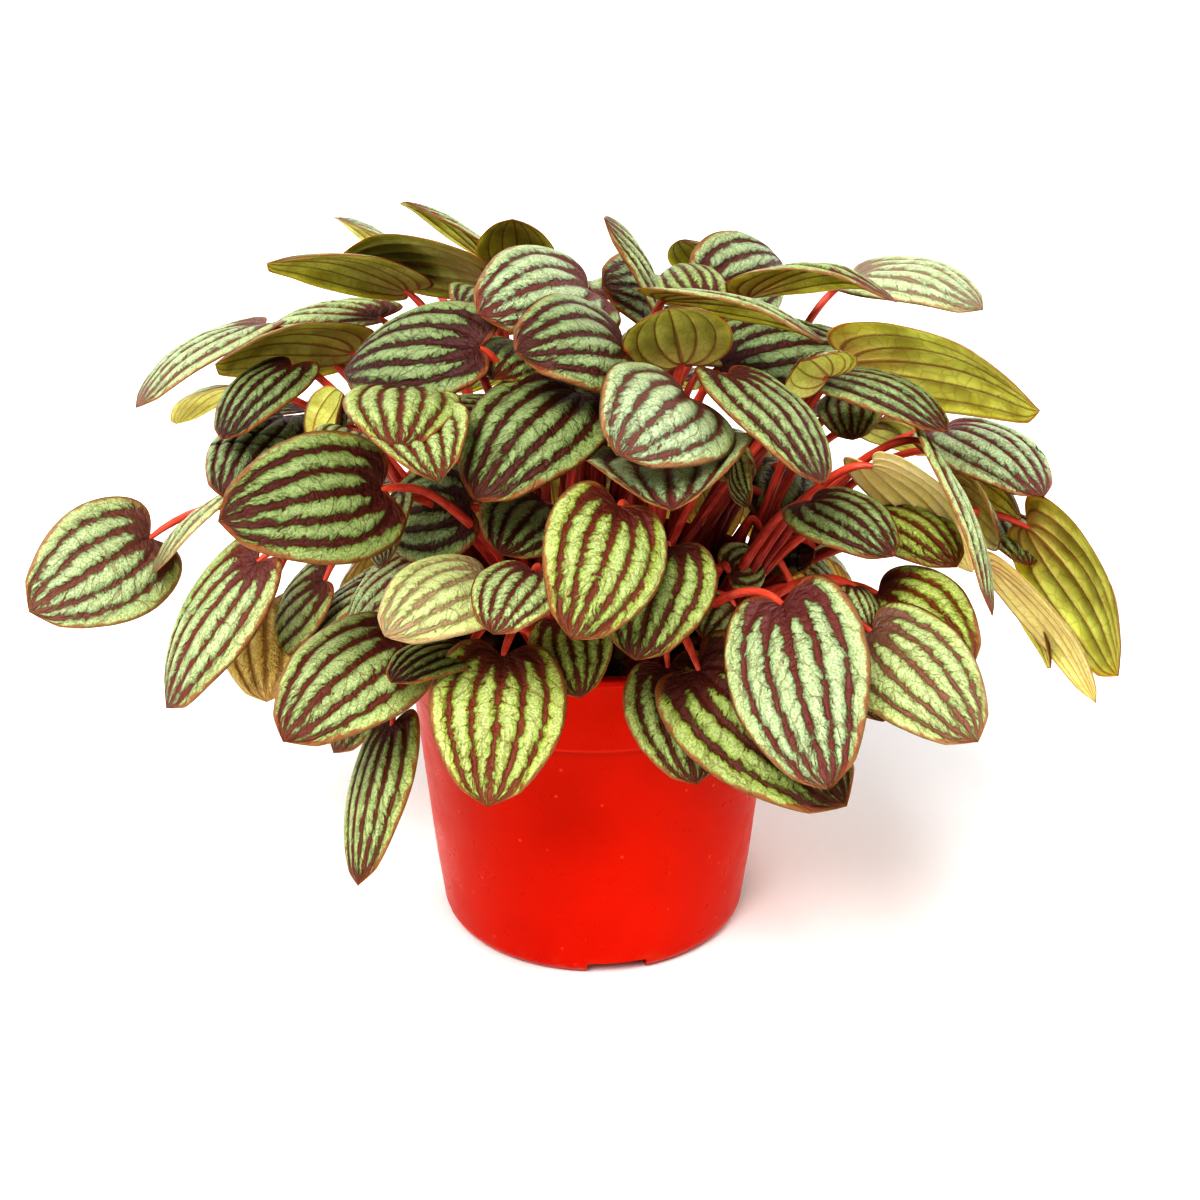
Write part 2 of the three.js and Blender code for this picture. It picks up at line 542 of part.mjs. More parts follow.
addPart('pot', potSolid(), '#e0200a', 0.35);
addPart('soil', soilSolid(), '#2a1a14', 0.95);
crowns.forEach((crown, i) => {
  addPart(`leafy_stem_${String(i + 1).padStart(2, '0')}`, stemSolid(crown), '#7fa05a', 0.5);
});

export default plant;
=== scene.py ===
# A potted peperomia: ribbed heart-shaped leaves on red stalks, in a red plastic pot, on a plain pale floor.
# Sizes are written in millimetres and turned into metres where meshes are made.
import random
from math import cos, hypot, pi, radians, sin, sqrt

import bmesh
import bpy
from mathutils import Matrix, Quaternion, Vector, noise


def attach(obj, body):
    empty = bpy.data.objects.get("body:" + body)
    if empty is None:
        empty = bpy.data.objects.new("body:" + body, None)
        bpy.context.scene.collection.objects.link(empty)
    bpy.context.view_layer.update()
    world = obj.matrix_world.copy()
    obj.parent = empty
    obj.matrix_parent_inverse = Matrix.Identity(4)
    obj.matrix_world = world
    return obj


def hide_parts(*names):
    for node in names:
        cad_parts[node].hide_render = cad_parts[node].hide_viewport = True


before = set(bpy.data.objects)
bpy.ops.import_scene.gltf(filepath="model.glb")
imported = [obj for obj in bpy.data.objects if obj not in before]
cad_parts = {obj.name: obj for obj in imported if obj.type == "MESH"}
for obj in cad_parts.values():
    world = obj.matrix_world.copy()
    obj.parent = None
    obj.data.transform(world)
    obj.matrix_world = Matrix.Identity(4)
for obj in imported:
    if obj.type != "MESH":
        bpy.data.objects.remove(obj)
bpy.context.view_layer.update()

mm = 0.001


def addToScene(name, data):
    item = bpy.data.objects.new(name, data)
    bpy.context.scene.collection.objects.link(item)
    return item


# The view in which the leaves were measured: distance and aim in millimetres, and the focal length, the
# middle of the frame and its size in the photograph's pixels.
camera = dict(
    distance=700,
    lookDown=25,
    aimX=2.1,
    aimZ=102.7,
    focalPixels=2337,
    middle=600,
    imageSize=1200,
    sensor=36,
    farthest=50,  # metres
)

cameraTilt = radians(camera["lookDown"])
cameraForward = Vector((0, cos(cameraTilt), -sin(cameraTilt)))
cameraUp = Vector((0, sin(cameraTilt), cos(cameraTilt)))
cameraPlace = Vector((camera["aimX"], 0, camera["aimZ"])) - camera["distance"] * cameraForward


def addCamera():
    data = bpy.data.cameras.new("camera")
    data.sensor_width = camera["sensor"]
    data.lens = camera["sensor"] * camera["focalPixels"] / camera["imageSize"]
    data.clip_end = camera["farthest"]
    item = addToScene("camera", data)
    item.location = cameraPlace * mm
    item.rotation_euler = (pi / 2 - cameraTilt, 0, 0)
    bpy.context.scene.camera = item


addCamera()
print("camera ready")


# A material under construction, with short names for the nodes that it is made of.
class Finish:
    def __init__(self, name):
        self.material = bpy.data.materials.new(name)
        self.material.use_nodes = True
        self.nodes = self.material.node_tree.nodes
        self.links = self.material.node_tree.links
        self.shader = self.nodes["Principled BSDF"]

    def node(self, kind, **settings):
        item = self.nodes.new(kind)
        for key, value in settings.items():
            setattr(item, key, value)
        return item

    def put(self, socket, value):
        if isinstance(value, bpy.types.NodeSocket):
            self.links.new(value, socket)
        elif isinstance(value, (tuple, list)) and len(value) == 3 and len(socket.default_value) == 4:
            socket.default_value = (*value, 1)
        else:
            socket.default_value = value

    # Fills a node's first sockets in turn.
    def fill(self, item, values):
        for socket, value in zip(item.inputs, values):
            self.put(socket, value)
        return item

    def set(self, name, value):
        self.put(self.shader.inputs[name], value)

    def place(self):
        return self.node("ShaderNodeTexCoord").outputs["Object"]

    def uv(self):
        read = self.node("ShaderNodeUVMap", uv_map="blade")
        split = self.fill(self.node("ShaderNodeSeparateXYZ"), (read.outputs[0],))
        return split.outputs[0], split.outputs[1]

    def tone(self):
        read = self.node("ShaderNodeAttribute", attribute_name="tone")
        split = self.fill(self.node("ShaderNodeSeparateColor"), (read.outputs["Color"],))
        return split.outputs[0], split.outputs[1], split.outputs[2], read.outputs["Alpha"]

    def math(self, operation, *values, clamp=False):
        item = self.node("ShaderNodeMath", operation=operation, use_clamp=clamp)
        return self.fill(item, values).outputs[0]

    def plus(self, first, second, clamp=False):
        return self.math("ADD", first, second, clamp=clamp)

    def minus(self, first, second, clamp=False):
        return self.math("SUBTRACT", first, second, clamp=clamp)

    def times(self, first, second, clamp=False):
        return self.math("MULTIPLY", first, second, clamp=clamp)

    # How far a value lies from its middle, times amount.
    def swing(self, value, middle, amount):
        return self.times(self.minus(value, middle), amount)

    def vectorMath(self, operation, *values, output="Vector"):
        return self.fill(self.node("ShaderNodeVectorMath", operation=operation), values).outputs[output]

    def scaled(self, vector, factors):
        return self.vectorMath("MULTIPLY", vector, factors)

    def vector(self, *values):
        return self.fill(self.node("ShaderNodeCombineXYZ"), values).outputs[0]

    def step(self, value, low, high, least=0.0, most=1.0):
        item = self.node("ShaderNodeMapRange", interpolation_type="SMOOTHSTEP")
        names = ("Value", "From Min", "From Max", "To Min", "To Max")
        for name, setting in zip(names, (value, low, high, least, most)):
            self.put(item.inputs[name], setting)
        return item.outputs[0]

    def mix(self, factor, first, second):
        item = self.node("ShaderNodeMix", data_type="RGBA")
        self.put(item.inputs[0], factor)
        self.put(item.inputs[6], first)  # the sockets 6 and 7 are the node's two colours
        self.put(item.inputs[7], second)
        return item.outputs[2]

    # Cloudy grey from 0 to 1, or cloudy colour, with lumps of about size millimetres.
    def noise(self, place, size, detail=2.0, roughness=0.5, distortion=0.0, output="Fac"):
        item = self.node("ShaderNodeTexNoise")
        self.put(item.inputs["Vector"], place)
        self.put(item.inputs["Scale"], 1 / (size * mm))
        self.put(item.inputs["Detail"], detail)
        self.put(item.inputs["Roughness"], roughness)
        self.put(item.inputs["Distortion"], distortion)
        return item.outputs[output]

    # Cells of about size millimetres, as distances from their middles.
    def cells(self, place, size, feature="F1"):
        item = self.node("ShaderNodeTexVoronoi", feature=feature)
        self.put(item.inputs["Vector"], place)
        self.put(item.inputs["Scale"], 1 / (size * mm))
        return item.outputs["Distance"]

    # The same cells, as distances from their edges.
    def shores(self, place, size):
        return self.cells(place, size, "DISTANCE_TO_EDGE")

    # Lets light soak into the thin flesh of a blade and come out on its other side.
    def fleshy(self, weight, depth):
        self.set("Subsurface Weight", weight)
        self.set("Subsurface Radius", (1.0, 0.95, 0.35))
        self.set("Subsurface Scale", depth * mm)

    # A bump whose full height is depth millimetres.
    def bump(self, height, depth):
        item = self.node("ShaderNodeBump")
        self.put(item.inputs["Height"], height)
        self.put(item.inputs["Distance"], depth * mm)
        self.set("Normal", item.outputs[0])


# Makes a finished mesh in metres into an object of the scene.
def objectOf(mesh, name, materials=()):
    data = bpy.data.meshes.new(name)
    mesh.to_mesh(data)
    mesh.free()
    for material in materials:
        data.materials.append(material)
    return addToScene(name, data)


def smoothFaces(mesh):
    for face in mesh.faces:
        face.smooth = True


# Makes a mesh into a piece of the plant or its pot, in place of the CAD nodes named.
def pieceOf(mesh, name, replaced, materials, sharpAngle=None):
    if sharpAngle is not None:
        for edge in mesh.edges:
            edge.smooth = edge.calc_face_angle(0) < radians(sharpAngle)
    smoothFaces(mesh)
    piece = objectOf(mesh, name, materials)
    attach(piece, "root")
    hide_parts(*replaced)


def outward(mesh):
    bmesh.ops.recalc_face_normals(mesh, faces=mesh.faces)


# Turns a section, given as distances from the axis and heights in metres, once round.
def turned(section, turns):
    mesh = bmesh.new()
    points = [mesh.verts.new((out, 0, up)) for out, up in section]
    edges = [mesh.edges.new(pair) for pair in zip(points, points[1:])]
    bmesh.ops.spin(mesh, geom=points + edges, cent=(0, 0, 0), axis=(0, 0, 1), angle=2 * pi,
                   steps=turns, use_merge=True)
    return mesh


def mixed(low, high, share):
    return low + (high - low) * share


# One row a leaf. First comes where the stalk meets the blade, in the photograph's pixels, and how far that
# lies behind the pot's middle, in millimetres; then the blade's point in pixels, and whether it is nearer
# (-1) or further (1). The blade's length and width follow, its turn about the midrib in degrees (0 shows
# the upper side, beyond 90 the underside), the midrib's arch and the drop of the sides, and for some leaves
# the stem that they grow from and the rise of their stalk.
seenLeaves = [
    ((783, 605), -86, (830, 790), -1, 52, 39, 15, 4, 3),
    ((699, 671), -80, (847, 806), -1, 54, 39, -15, 5, 3),
    ((872, 632), -76, (978, 742), -1, 43, 33, -20, 4, 3),
    ((878, 594), -56, (972, 668), -1, 38, 32, -20, 4, 3),
    ((503, 657), -84, (487, 807), -1, 42, 36, 0, 3, 2),
    ((566, 622), -66, (581, 698), -1, 24, 23, 0, 3, 2),
    ((619, 508), -88, (571, 640), -1, 41, 33, -12, 4, 3),
    ((668, 548), -76, (635, 661), -1, 34, 31, 5, 4, 3),
    ((486, 578), -80, (385, 637), -1, 38, 30, 35, 5, 4),
    ((533, 573), -90, (492, 634), -1, 26, 24, 25, 3, 2),
    ((400, 640), -62, (283, 742), -1, 46, 37, 30, 5, 4),
    ((468, 650), -74, (391, 683), -1, 30, 22, 55, 3, 2),
    ((392, 726), -62, (358, 886), -1, 48, 22, 40, 3, 4),
    ((325, 580), -4, (272, 650), 1, 36, 28, 60, 4, 4),
    ((668, 668), -66, (697, 785), -1, 34, 29, 0, 3, 2),
    ((735, 608), -56, (704, 640), -1, 20, 20, 10, 2, 2),
    ((856, 588), -60, (872, 632), -1, 15, 12, -40, 2, 3),
    ((862, 655), -60, (883, 722), -1, 22, 22, -20, 2, 2),
    ((380, 490), -70, (218, 521), -1, 47, 36, 12, 6, 4, 14),
    ((395, 500), -44, (385, 567), -1, 24, 20, 60, 2, 2, 14),
    ((258, 562), -16, (166, 708), 1, 53, 33, 48, 5, 4),
    ((268, 603), 12, (267, 702), -1, 34, 30, 10, 3, 3),
    ((150, 538), 6, (29, 612), -1, 44, 38, 8, 4, 3, None, 25.7),
    ((238, 492), 22, (154, 573), -1, 42, 28, 84, 4, 3),
    ((285, 418), 20, (222, 497), -1, 42, 30, 40, 5, 4),
    ((306, 410), 42, (240, 424), 1, 32, 18, 84, 3, 2),
    ((292, 366), 14, (222, 440), -1, 36, 25, 48, 4, 3),
    ((238, 388), 46, (177, 424), 1, 34, 22, 112, 4, 3),
    ((352, 432), -20, (335, 455), -1, 22, 18, 20, 2, 2),
    ((320, 445), -6, (343, 393), -1, 26, 20, 120, 3, 7),
    ((262, 327), 40, (136, 408), -1, 48, 28, 70, 6, 3),
    ((350, 352), 32, (215, 364), -1, 46, 34, 118, 5, 4),
    ((378, 318), 44, (262, 333), 1, 44, 30, 75, 5, 3),
    ((404, 290), 34, (267, 263), -1, 48, 30, 112, 4, 3),
    ((479, 348), -46, (343, 371), 1, 43, 33, 40, 6, 4),
    ((530, 350), -22, (492, 378), -1, 30, 26, 35, 3, 3),
    ((482, 278), 16, (340, 268), 1, 50, 36, 120, 4, 3),
    ((490, 300), 2, (462, 310), -1, 26, 20, 45, 3, 2),
    ((402, 264), 100, (338, 218), -1, 38, 24, 102, 3, 2, 5, 24),
    ((492, 262), 64, (404, 202), -1, 42, 30, 98, 3, 3),
    ((588, 290), -16, (478, 316), -1, 42, 36, 35, 6, 4),
    ((518, 275), 46, (513, 219), -1, 32, 24, 170, 3, 3),
    ((621, 349), -42, (515, 352), -1, 37, 35, 38, 6, 4),
    ((662, 346), -28, (630, 332), 1, 24, 20, 40, 3, 3),
    ((688, 399), -56, (618, 456), -1, 40, 38, 15, 6, 4),
    ((682, 362), -34, (668, 308), -1, 28, 30, 175, 3, 3),
    ((574, 393), -48, (474, 501), -1, 46, 36, 28, 6, 4),
    ((545, 505), -46, (500, 555), -1, 32, 28, 20, 3, 3),
    ((404, 390), -52, (399, 449), -1, 32, 31, 5, 4, 3, 14),
    ((412, 428), -62, (440, 482), -1, 33, 27, -15, 4, -3, 14),
    ((470, 507), -40, (378, 520), 1, 34, 31, 20, 3, 3, 14),
    ((668, 466), -54, (672, 511), -1, 38, 45, 0, 3, -6),
    ((735, 462), -46, (750, 505), -1, 18, 12, 50, 2, 2),
    ((728, 376), -52, (823, 485), -1, 46, 28, -52, 5, 3),
    ((828, 376), -30, (800, 362), -1, 16, 22, 145, 3, 5),
    ((721, 366), 5, (858, 352), 1, 46, 36, -45, 5, 4),
    ((862, 352), 38, (800, 345), -1, 30, 22, 60, 3, 2, 11),
    ((665, 300), -8, (826, 343), -1, 50, 34, -96, 5, 4),
    ((652, 305), 52, (602, 286), -1, 36, 28, 42, 5, 4),
    ((662, 312), 18, (604, 219), -1, 40, 28, 78, 3, 3),
    ((702, 300), 32, (672, 268), 1, 32, 20, 30, 4, 3, 12),
    ((710, 290), 56, (782, 262), 1, 38, 32, -8, 4, 3, 12),
    ((706, 268), 82, (680, 240), -1, 22, 18, 140, 2, 3, 4),
    ((752, 296), 46, (897, 303), -1, 49, 36, -98, 9, 4, 12),
    ((857, 278), 66, (983, 310), -1, 44, 34, -62, 6, 3),
    ((855, 362), 2, (1040, 411), -1, 59, 42, -120, 6, 4),
    ((850, 395), 16, (852, 440), -1, 24, 20, 0, 2, 2),
    ((946, 430), 26, (1044, 497), -1, 44, 34, -52, 5, 4),
    ((940, 452), 34, (1022, 517), -1, 40, 30, -115, 4, 3),
    ((826, 378), -14, (948, 432), -1, 44, 27, -62, 5, 3),
    ((880, 420), 44, (940, 455), 1, 32, 28, -125, 3, 3),
    ((873, 466), -42, (972, 573), 1, 46, 29, -125, 5, 3),
    ((925, 442), -30, (992, 616), -1, 55, 34, -84, 4, 3),
    ((955, 490), 12, (1000, 540), -1, 36, 24, -118, 3, 3),
    ((1005, 518), 24, (1030, 566), -1, 26, 18, -30, 2, 2),
    ((1029, 528), 0, (1118, 676), -1, 53, 40, -124, 5, 4),
    ((1010, 590), 6, (1051, 668), -1, 34, 16, -110, 3, 2),
    ((991, 566), -22, (1096, 703), 1, 51, 32, -108, 4, 3),
    ((866, 510), -28, (957, 567), -1, 36, 30, -50, 4, 3),
    ((811, 503), -46, (893, 557), -1, 34, 25, -40, 4, 3),
    ((850, 505), 0, (915, 520), -1, 30, 22, -60, 3, 3),
    ((729, 572), -34, (763, 560), 1, 18, 16, -10, 2, 2),
    ((815, 548), -18, (768, 532), 1, 26, 24, 20, 3, 3),
    ((790, 470), 50, (770, 525), -1, 36, 30, 0, 3, 3),
]

# The back of the plant and the young leaves over its middle, in arcs round the pot's axis: count, first and
# last angle, reach, height, length, width and droop. Every other leaf stands further in and higher.
leafArcs = [
    (7, 44, 136, 84, 118, 46, 36, 34),
    (7, 37, 146, 80, 146, 46, 35, 24),
    (5, 66, 122, 62, 168, 42, 33, 14),
    (5, -175, 90, 26, 162, 36, 28, 12),
    (7, 42, 150, 69, 112, 42, 33, 58),
    (3, 176, 218, 64, 108, 38, 31, 45),
    (3, -22, 26, 64, 110, 38, 31, 45),
]
arcSettings = dict(
    inward=14,
    up=15,
    arch=5,
    cup=3,
    anglesVary=4,  # how unlike each other the leaves of an arc are
    heightsVary=3,
    droopsVary=6,
    facesVary=0.3,
    lengths=(0.9, 0.15),  # the least share of the length, and how much more there may be
    widths=(0.92, 0.12),
    seed=7,
)

soilTop = 92

stemSettings = dict(
    circles=((10, 38), (5, 18)),  # how many stems stand on each circle, and its radius
    fan=42,  # how far out the stalks of the lowest leaves would come out of the soil
    radius=4.6,
    top=4,
    below=7.5,
    height=8,
    slack=0.25,  # how much thinner it is than that, to leave room for its rings and its unevenness
    scars=9,
    ringOut=0.22,
    ringIn=0.1,
    uneven=0.05,
    crown=0.6,
    around=16,
)

stalkSettings = dict(
    footRadius=1.75,
    endRadius=1.2,
    first=1.5,  # how high the first stalk leaves its stem, and each next one above it
    each=0.8,
    ring=2.4,
    rise=0.16,
    overLip=140,
    leaving=0.3,  # shares of the stalk's reach, where its curve is pulled from
    nearing=0.24,
    straight=0.08,
    tipStart=0.86,
    tipThins=0.38,
    swell=0.12,
    sway=0.8,
    around=10,
    along=22,
)


# The direction from the camera in which a pixel of the photograph lies.
def sightLine(pixel):
    across = (pixel[0] - camera["middle"]) / camera["focalPixels"]
    up = (camera["middle"] - pixel[1]) / camera["focalPixels"]
    return (cameraForward + up * cameraUp + Vector((across, 0, 0))).normalized()


def seenLeaf(number, row):
    at, depth, tipPixel, lean, length, width, turn, arch, cup, *more = row
    line = sightLine(at)
    base = cameraPlace + line * ((depth - cameraPlace.y) / line.y)
    line = sightLine(tipPixel)
    nearest = cameraPlace + line * (base - cameraPlace).dot(line)
    spare = length * length - (nearest - base).length_squared
    tip = nearest + line * (lean * sqrt(max(spare, 0)))
    along = (tip - base).normalized()
    face = cameraPlace - (base + tip) / 2
    face = Quaternion(along, radians(turn)) @ (face - along * face.dot(along))
    stem = more[0] if more else None
    rise = more[1] if len(more) > 1 else None
    return dict(number=number, base=base, tip=tip, face=face, width=width, arch=arch, cup=cup, stem=stem,
                rise=rise)


def arcLeaves(first):
    arcs = arcSettings
    state, factor, divisor = arcs["seed"], 16807, 2147483647

    # An even draw between 0 and 1 that comes out the same on every machine.
    def draw():
        nonlocal state
        state = state * factor % divisor
        return state / divisor

    def either(amount):
        return amount * (draw() - 0.5)

    def share(least, more):
        return least + more * draw()

    grown = []
    for count, start, end, reach, height, length, width, droop in leafArcs:
        for i in range(count):
            inner = i % 2
            angle = radians(start + (end - start) * i / (count - 1) + either(arcs["anglesVary"]))
            out = Vector((cos(angle), sin(angle), 0))
            base = out * (reach - arcs["inward"] * inner)
            base.z = height + arcs["up"] * inner + either(arcs["heightsVary"])
            fall = radians(droop + either(arcs["droopsVary"]))
            size = length * share(*arcs["lengths"])
            tip = base + out * (size * cos(fall)) - Vector((0, 0, size * sin(fall)))
            face = out * sin(fall) + Vector((either(arcs["facesVary"]), 0, 1))
            wide = width * share(*arcs["widths"])
            grown.append(dict(number=first + len(grown), base=base, tip=tip, face=face, width=wide,
                              arch=arcs["arch"], cup=arcs["cup"], stem=None, rise=None))
    return grown


stems = []
for count, radius in stemSettings["circles"]:
    for i in range(count):
        angle = 2 * pi * (i + 0.5) / count - pi / 2
        foot = Vector((radius * cos(angle), radius * sin(angle), soilTop))
        stems.append(dict(foot=foot, leaves=[]))

leaves = [seenLeaf(i, row) for i, row in enumerate(seenLeaves)]
leaves += arcLeaves(len(leaves))


# Joins a leaf to its stem: the one named, or the one nearest to where the stalk would come out of the soil.
def joinStem(leaf):
    base = leaf["base"]
    stem = leaf["stem"]
    if stem is None:
        steep = hypot(hypot(base.x, base.y), base.z - soilTop)
        wanted = Vector((base.x, base.y)) * (stemSettings["fan"] / steep)
        stem = min(range(len(stems)), key=lambda k: (stems[k]["foot"].xy - wanted).length)
    foot, joined = stems[stem]["foot"], stems[stem]["leaves"]
    out = Vector((base.x - foot.x, base.y - foot.y, 0)).normalized() * stalkSettings["ring"]
    climb = stalkSettings["first"] + stalkSettings["each"] * len(joined)
    leaf["start"] = foot + out + Vector((0, 0, climb))
    along = leaf["tip"] - base
    leaf["length"] = along.length
    leaf["along"] = along.normalized()
    face = leaf["face"]
    leaf["normal"] = (face - leaf["along"] * face.dot(leaf["along"])).normalized()
    leaf["side"] = leaf["along"].cross(leaf["normal"])
    joined.append(leaf)


for leaf in leaves:
    joinStem(leaf)
print("placed", len(leaves), "leaves on", len(stems), "stems")

bladeSettings = dict(
    nominalWidth=36,  # the blade that quilting and patterns are drawn for
    nominalLength=46,
    thickness=0.9,
    marginSharp=5,
    tipThin=8,
    lobe=0.19,
    spread=1.6,
    fullness=0.85,
    pointed=0.32,
    tipRound=0.07,
    tipBlunt=0.4,
    forward=1.35,
    back=12.2,
    veins=(0, 0.36, 0.70),  # where the sunken veins run: shares of the way from the midrib to a margin
    lastVein=1.06,
    quilt=1.15,  # how far the blade swells between two veins, on a blade of the nominal width
    quiltEdge=0.6,
    unevenQuilt=0.5,
    ripple=0.5,
    scallop=0.012,
    columns=(0, 0.05, 0.12, 0.20, 0.28, 0.32, 0.36, 0.40, 0.46, 0.54, 0.62, 0.66, 0.70, 0.74, 0.80, 0.88,
             0.95, 1),
    rows=36,
    crowding=0.055,  # how far the rows are drawn towards the blade's two ends
)


# The heart's half width at s, which runs from 0 at the notch to 1 at the point.
def heartAcross(s):
    if not 0 < s < 1:
        return 0.0
    blade = bladeSettings
    fullness = blade["fullness"] - blade["pointed"] * s * s
    return sin(pi * s) ** fullness * min(1, (1 - s) / blade["tipRound"]) ** blade["tipBlunt"]


def heartAlong(s):
    return s ** bladeSettings["forward"]


# How far the lobes reach back beside the notch.
def heartBack(s):
    return bladeSettings["back"] * s * (1 - s) ** 4


# How high the blade stands between its veins, from 0 on a vein to 1 halfway to the next.
def quiltHeight(t):
    veins = bladeSettings["veins"]
    edges = (*veins, bladeSettings["lastVein"])
    for low, high in zip(edges, edges[1:]):
        if t <= high:
            share = (t - low) / (high - low)
            return sin(pi * share) ** bladeSettings["quiltEdge"] * (high - low) / veins[1]
    return 0


# The blade's middle surface at s along it and t across it, from -1 to 1.
def bladePoint(leaf, s, t):
    blade = bladeSettings
    size = leaf["width"] / blade["nominalWidth"]
    side = abs(t)
    number = leaf["number"]
    across = heartAcross(s)
    forward = leaf["length"] * (heartAlong(s) - blade["lobe"] * heartBack(s) * side ** blade["spread"])
    sideways = 0.5 * leaf["width"] * across * t
    lift = leaf["arch"] * sin(pi * heartAlong(s)) - leaf["cup"] * t * t * across
    swell = blade["quilt"] * size * quiltHeight(side) * min(1, across * 1.25) ** 1.5
    cloud = noise.noise(Vector((s * 5, t * 2.2, number * 7.3)))
    swell *= 1 + blade["unevenQuilt"] * cloud
    waves = noise.noise(Vector((s * 3.1, t * 1.7 + 40, number * 3.7)))
    ripple = blade["ripple"] * size * waves * (0.3 + side ** 2)
    edge = 1 + blade["scallop"] * noise.noise(Vector((s * 9, t + 5, number))) * side ** 4
    point = leaf["base"] + leaf["along"] * forward + leaf["side"] * (sideways * edge)
    return point + leaf["normal"] * (lift + swell + ripple)


# The blade thins to nothing at its margin and near its point.
def bladeThickness(s, t):
    blade = bladeSettings
    margin = sqrt(max(0, 1 - abs(t) ** blade["marginSharp"]))
    return blade["thickness"] * margin * min(1, blade["tipThin"] * (1 - s)) ** 0.5


# Writes each vertex's place on the leaf into the map of the faces round it.
def writeMap(mesh, places, faces):
    layer = mesh.loops.layers.uv["blade"]
    for face in faces:
        for loop in face.loops:
            loop[layer].uv = places[loop.vert]


# A blade is two sheets, its upper side and its underside, which meet at the margin.
def addBlade(mesh, leaf):
    half = list(bladeSettings["columns"])
    columns = [-t for t in reversed(half[1:])] + half
    rows, wide = bladeSettings["rows"], len(columns) - 1
    toneLayer = mesh.verts.layers.float_color["tone"]
    for under in (False, True):
        made = bmesh.ops.create_grid(mesh, x_segments=wide, y_segments=rows, size=1)["verts"]
        places = {}
        for vertex in made:
            t = columns[round((vertex.co.x + 1) / 2 * wide)]
            v = (vertex.co.y + 1) / 2
            s = v - bladeSettings["crowding"] * sin(2 * pi * v)
            places[vertex] = (t, s)
            thick = bladeThickness(s, t) / 2
            vertex.co = (bladePoint(leaf, s, t) + leaf["normal"] * (-thick if under else thick)) * mm
            vertex[toneLayer] = leaf["tone"]
        faces = {face for vertex in made for face in vertex.link_faces}
        writeMap(mesh, places, faces)
        for face in faces:
            face.material_index = 1 if under else 0
            if under:
                face.normal_flip()


# How yellow, how silvery and how dark a leaf is. Darkness is partly the leaf's own and partly painted shade on
# leaves deep in the plant. Yellow beyond 1 turns to straw, and dark below 0 paints a pale glow of light
# through the blade. Leaves that aren't named here get values of their own by chance, inside ordinaryTones.
ordinaryTones = ((0.15, 0.55), (0.25, 0.75), (0.0, 0.35))
leafTones = {
    0: (0.25, 0.8, 0.05), 1: (0.75, 0.1, 0.45), 2: (0.6, 0.45, -0.1), 3: (0.9, 0.0, 0.1),
    4: (0.85, 0.15, 0.0), 5: (0.8, 0.1, 0.3), 6: (0.75, 0.15, 0.1), 7: (0.7, 0.2, 0.3),
    8: (0.85, 0.3, -0.35), 9: (0.6, 0.6, 0.0), 10: (0.5, 0.5, 0.15), 11: (0.3, 0.3, 0.7),
    12: (0.45, 0.4, 0.25), 14: (0.6, 0.3, 0.3), 18: (0.4, 0.4, 0.45), 20: (0.4, 0.6, 0.0),
    21: (1.9, 0.0, -0.6), 22: (0.35, 0.75, -0.05), 23: (0.5, 0.6, -0.2), 24: (0.1, 0.9, 0.45),
    26: (0.2, 0.7, 0.6), 27: (0.5, 0.5, -0.3), 30: (0.4, 0.8, -0.1), 31: (0.4, 0.4, 0.4),
    33: (0.3, 0.3, 0.3), 34: (0.2, 0.6, 0.6), 36: (0.3, 0.3, 0.6), 38: (0.2, 0.9, -0.2),
    40: (0.2, 0.9, 0.0), 41: (0.3, 0.2, 0.4), 42: (0.15, 0.7, 0.45), 44: (0.1, 1.0, -0.05),
    45: (0.3, 0.2, 0.3), 46: (0.15, 0.5, 0.5), 47: (0.3, 0.6, 0.5), 48: (0.7, 0.3, 0.1),
    49: (0.7, 0.4, 0.0), 50: (0.1, 0.5, 0.6), 51: (0.2, 0.9, 0.1), 53: (0.5, 0.6, 0.4), 55: (0.1, 0.8, 0.6),
    58: (0.2, 0.8, 0.5), 61: (0.2, 0.85, 0.25), 64: (0.4, 0.9, -0.25), 65: (0.6, 0.3, -0.05),
    67: (0.2, 0.9, 0.0), 69: (0.2, 0.7, 0.4), 71: (1.9, 0.0, -0.8), 72: (0.6, 0.6, 0.0),
    75: (0.5, 0.3, 0.35), 77: (1.4, 0.3, -0.3), 78: (0.95, 0.0, 0.3), 79: (0.3, 0.6, 0.4),
    82: (0.2, 0.5, 0.8), 83: (0.3, 0.4, 0.7),
}


def toneOf(number):
    dice = random.Random(number * 31 + 5)
    tone = leafTones.get(number) or [dice.uniform(low, high) for low, high in ordinaryTones]
    return (*tone, dice.random())


for leaf in leaves:
    leaf["tone"] = toneOf(leaf["number"])

# Sizes are in millimetres, on a blade of the nominal size.
upperSettings = dict(
    silver=(0.42, 0.52, 0.35),
    mint=(0.34, 0.45, 0.145),
    lime=(0.44, 0.51, 0.09),
    # pale is a painted highlight on the middles of the bulging islands
    pale=(0.66, 0.72, 0.42),
    straw=(0.90, 0.68, 0.30),
    paleGlow=(0.84, 0.88, 0.56),
    shade=(0.075, 0.108, 0.018),
    vein=(0.215, 0.052, 0.018),
    mauveWithSheen=(0.165, 0.042, 0.036),
    deepVein=(0.095, 0.014, 0.008),
    deepMauveWithSheen=(0.140, 0.042, 0.040),
    darkVein=(0.050, 0.009, 0.005),
    margin=(0.26, 0.075, 0.022),
    halfVeins=(0.60, 0.38, 0.26),  # half widths of the main veins, from the midrib outwards
    wander=1.6,
    baseSpread=1.9,  # how much wider the veins are where they meet
    darkSpread=0.5,
    spikes=1.5,
    islandBulge=1.15,
    ragged=1.4,
    islands=2.7,
    islandLean=11,
    bend=2.6,
    bendClouds=1 / 0.42,
    webCells=7.5,
    finestCells=1.2,
    relief=0.6,
    soak=(0.2, 1.6),  # how much light soaks in, and how deep
)


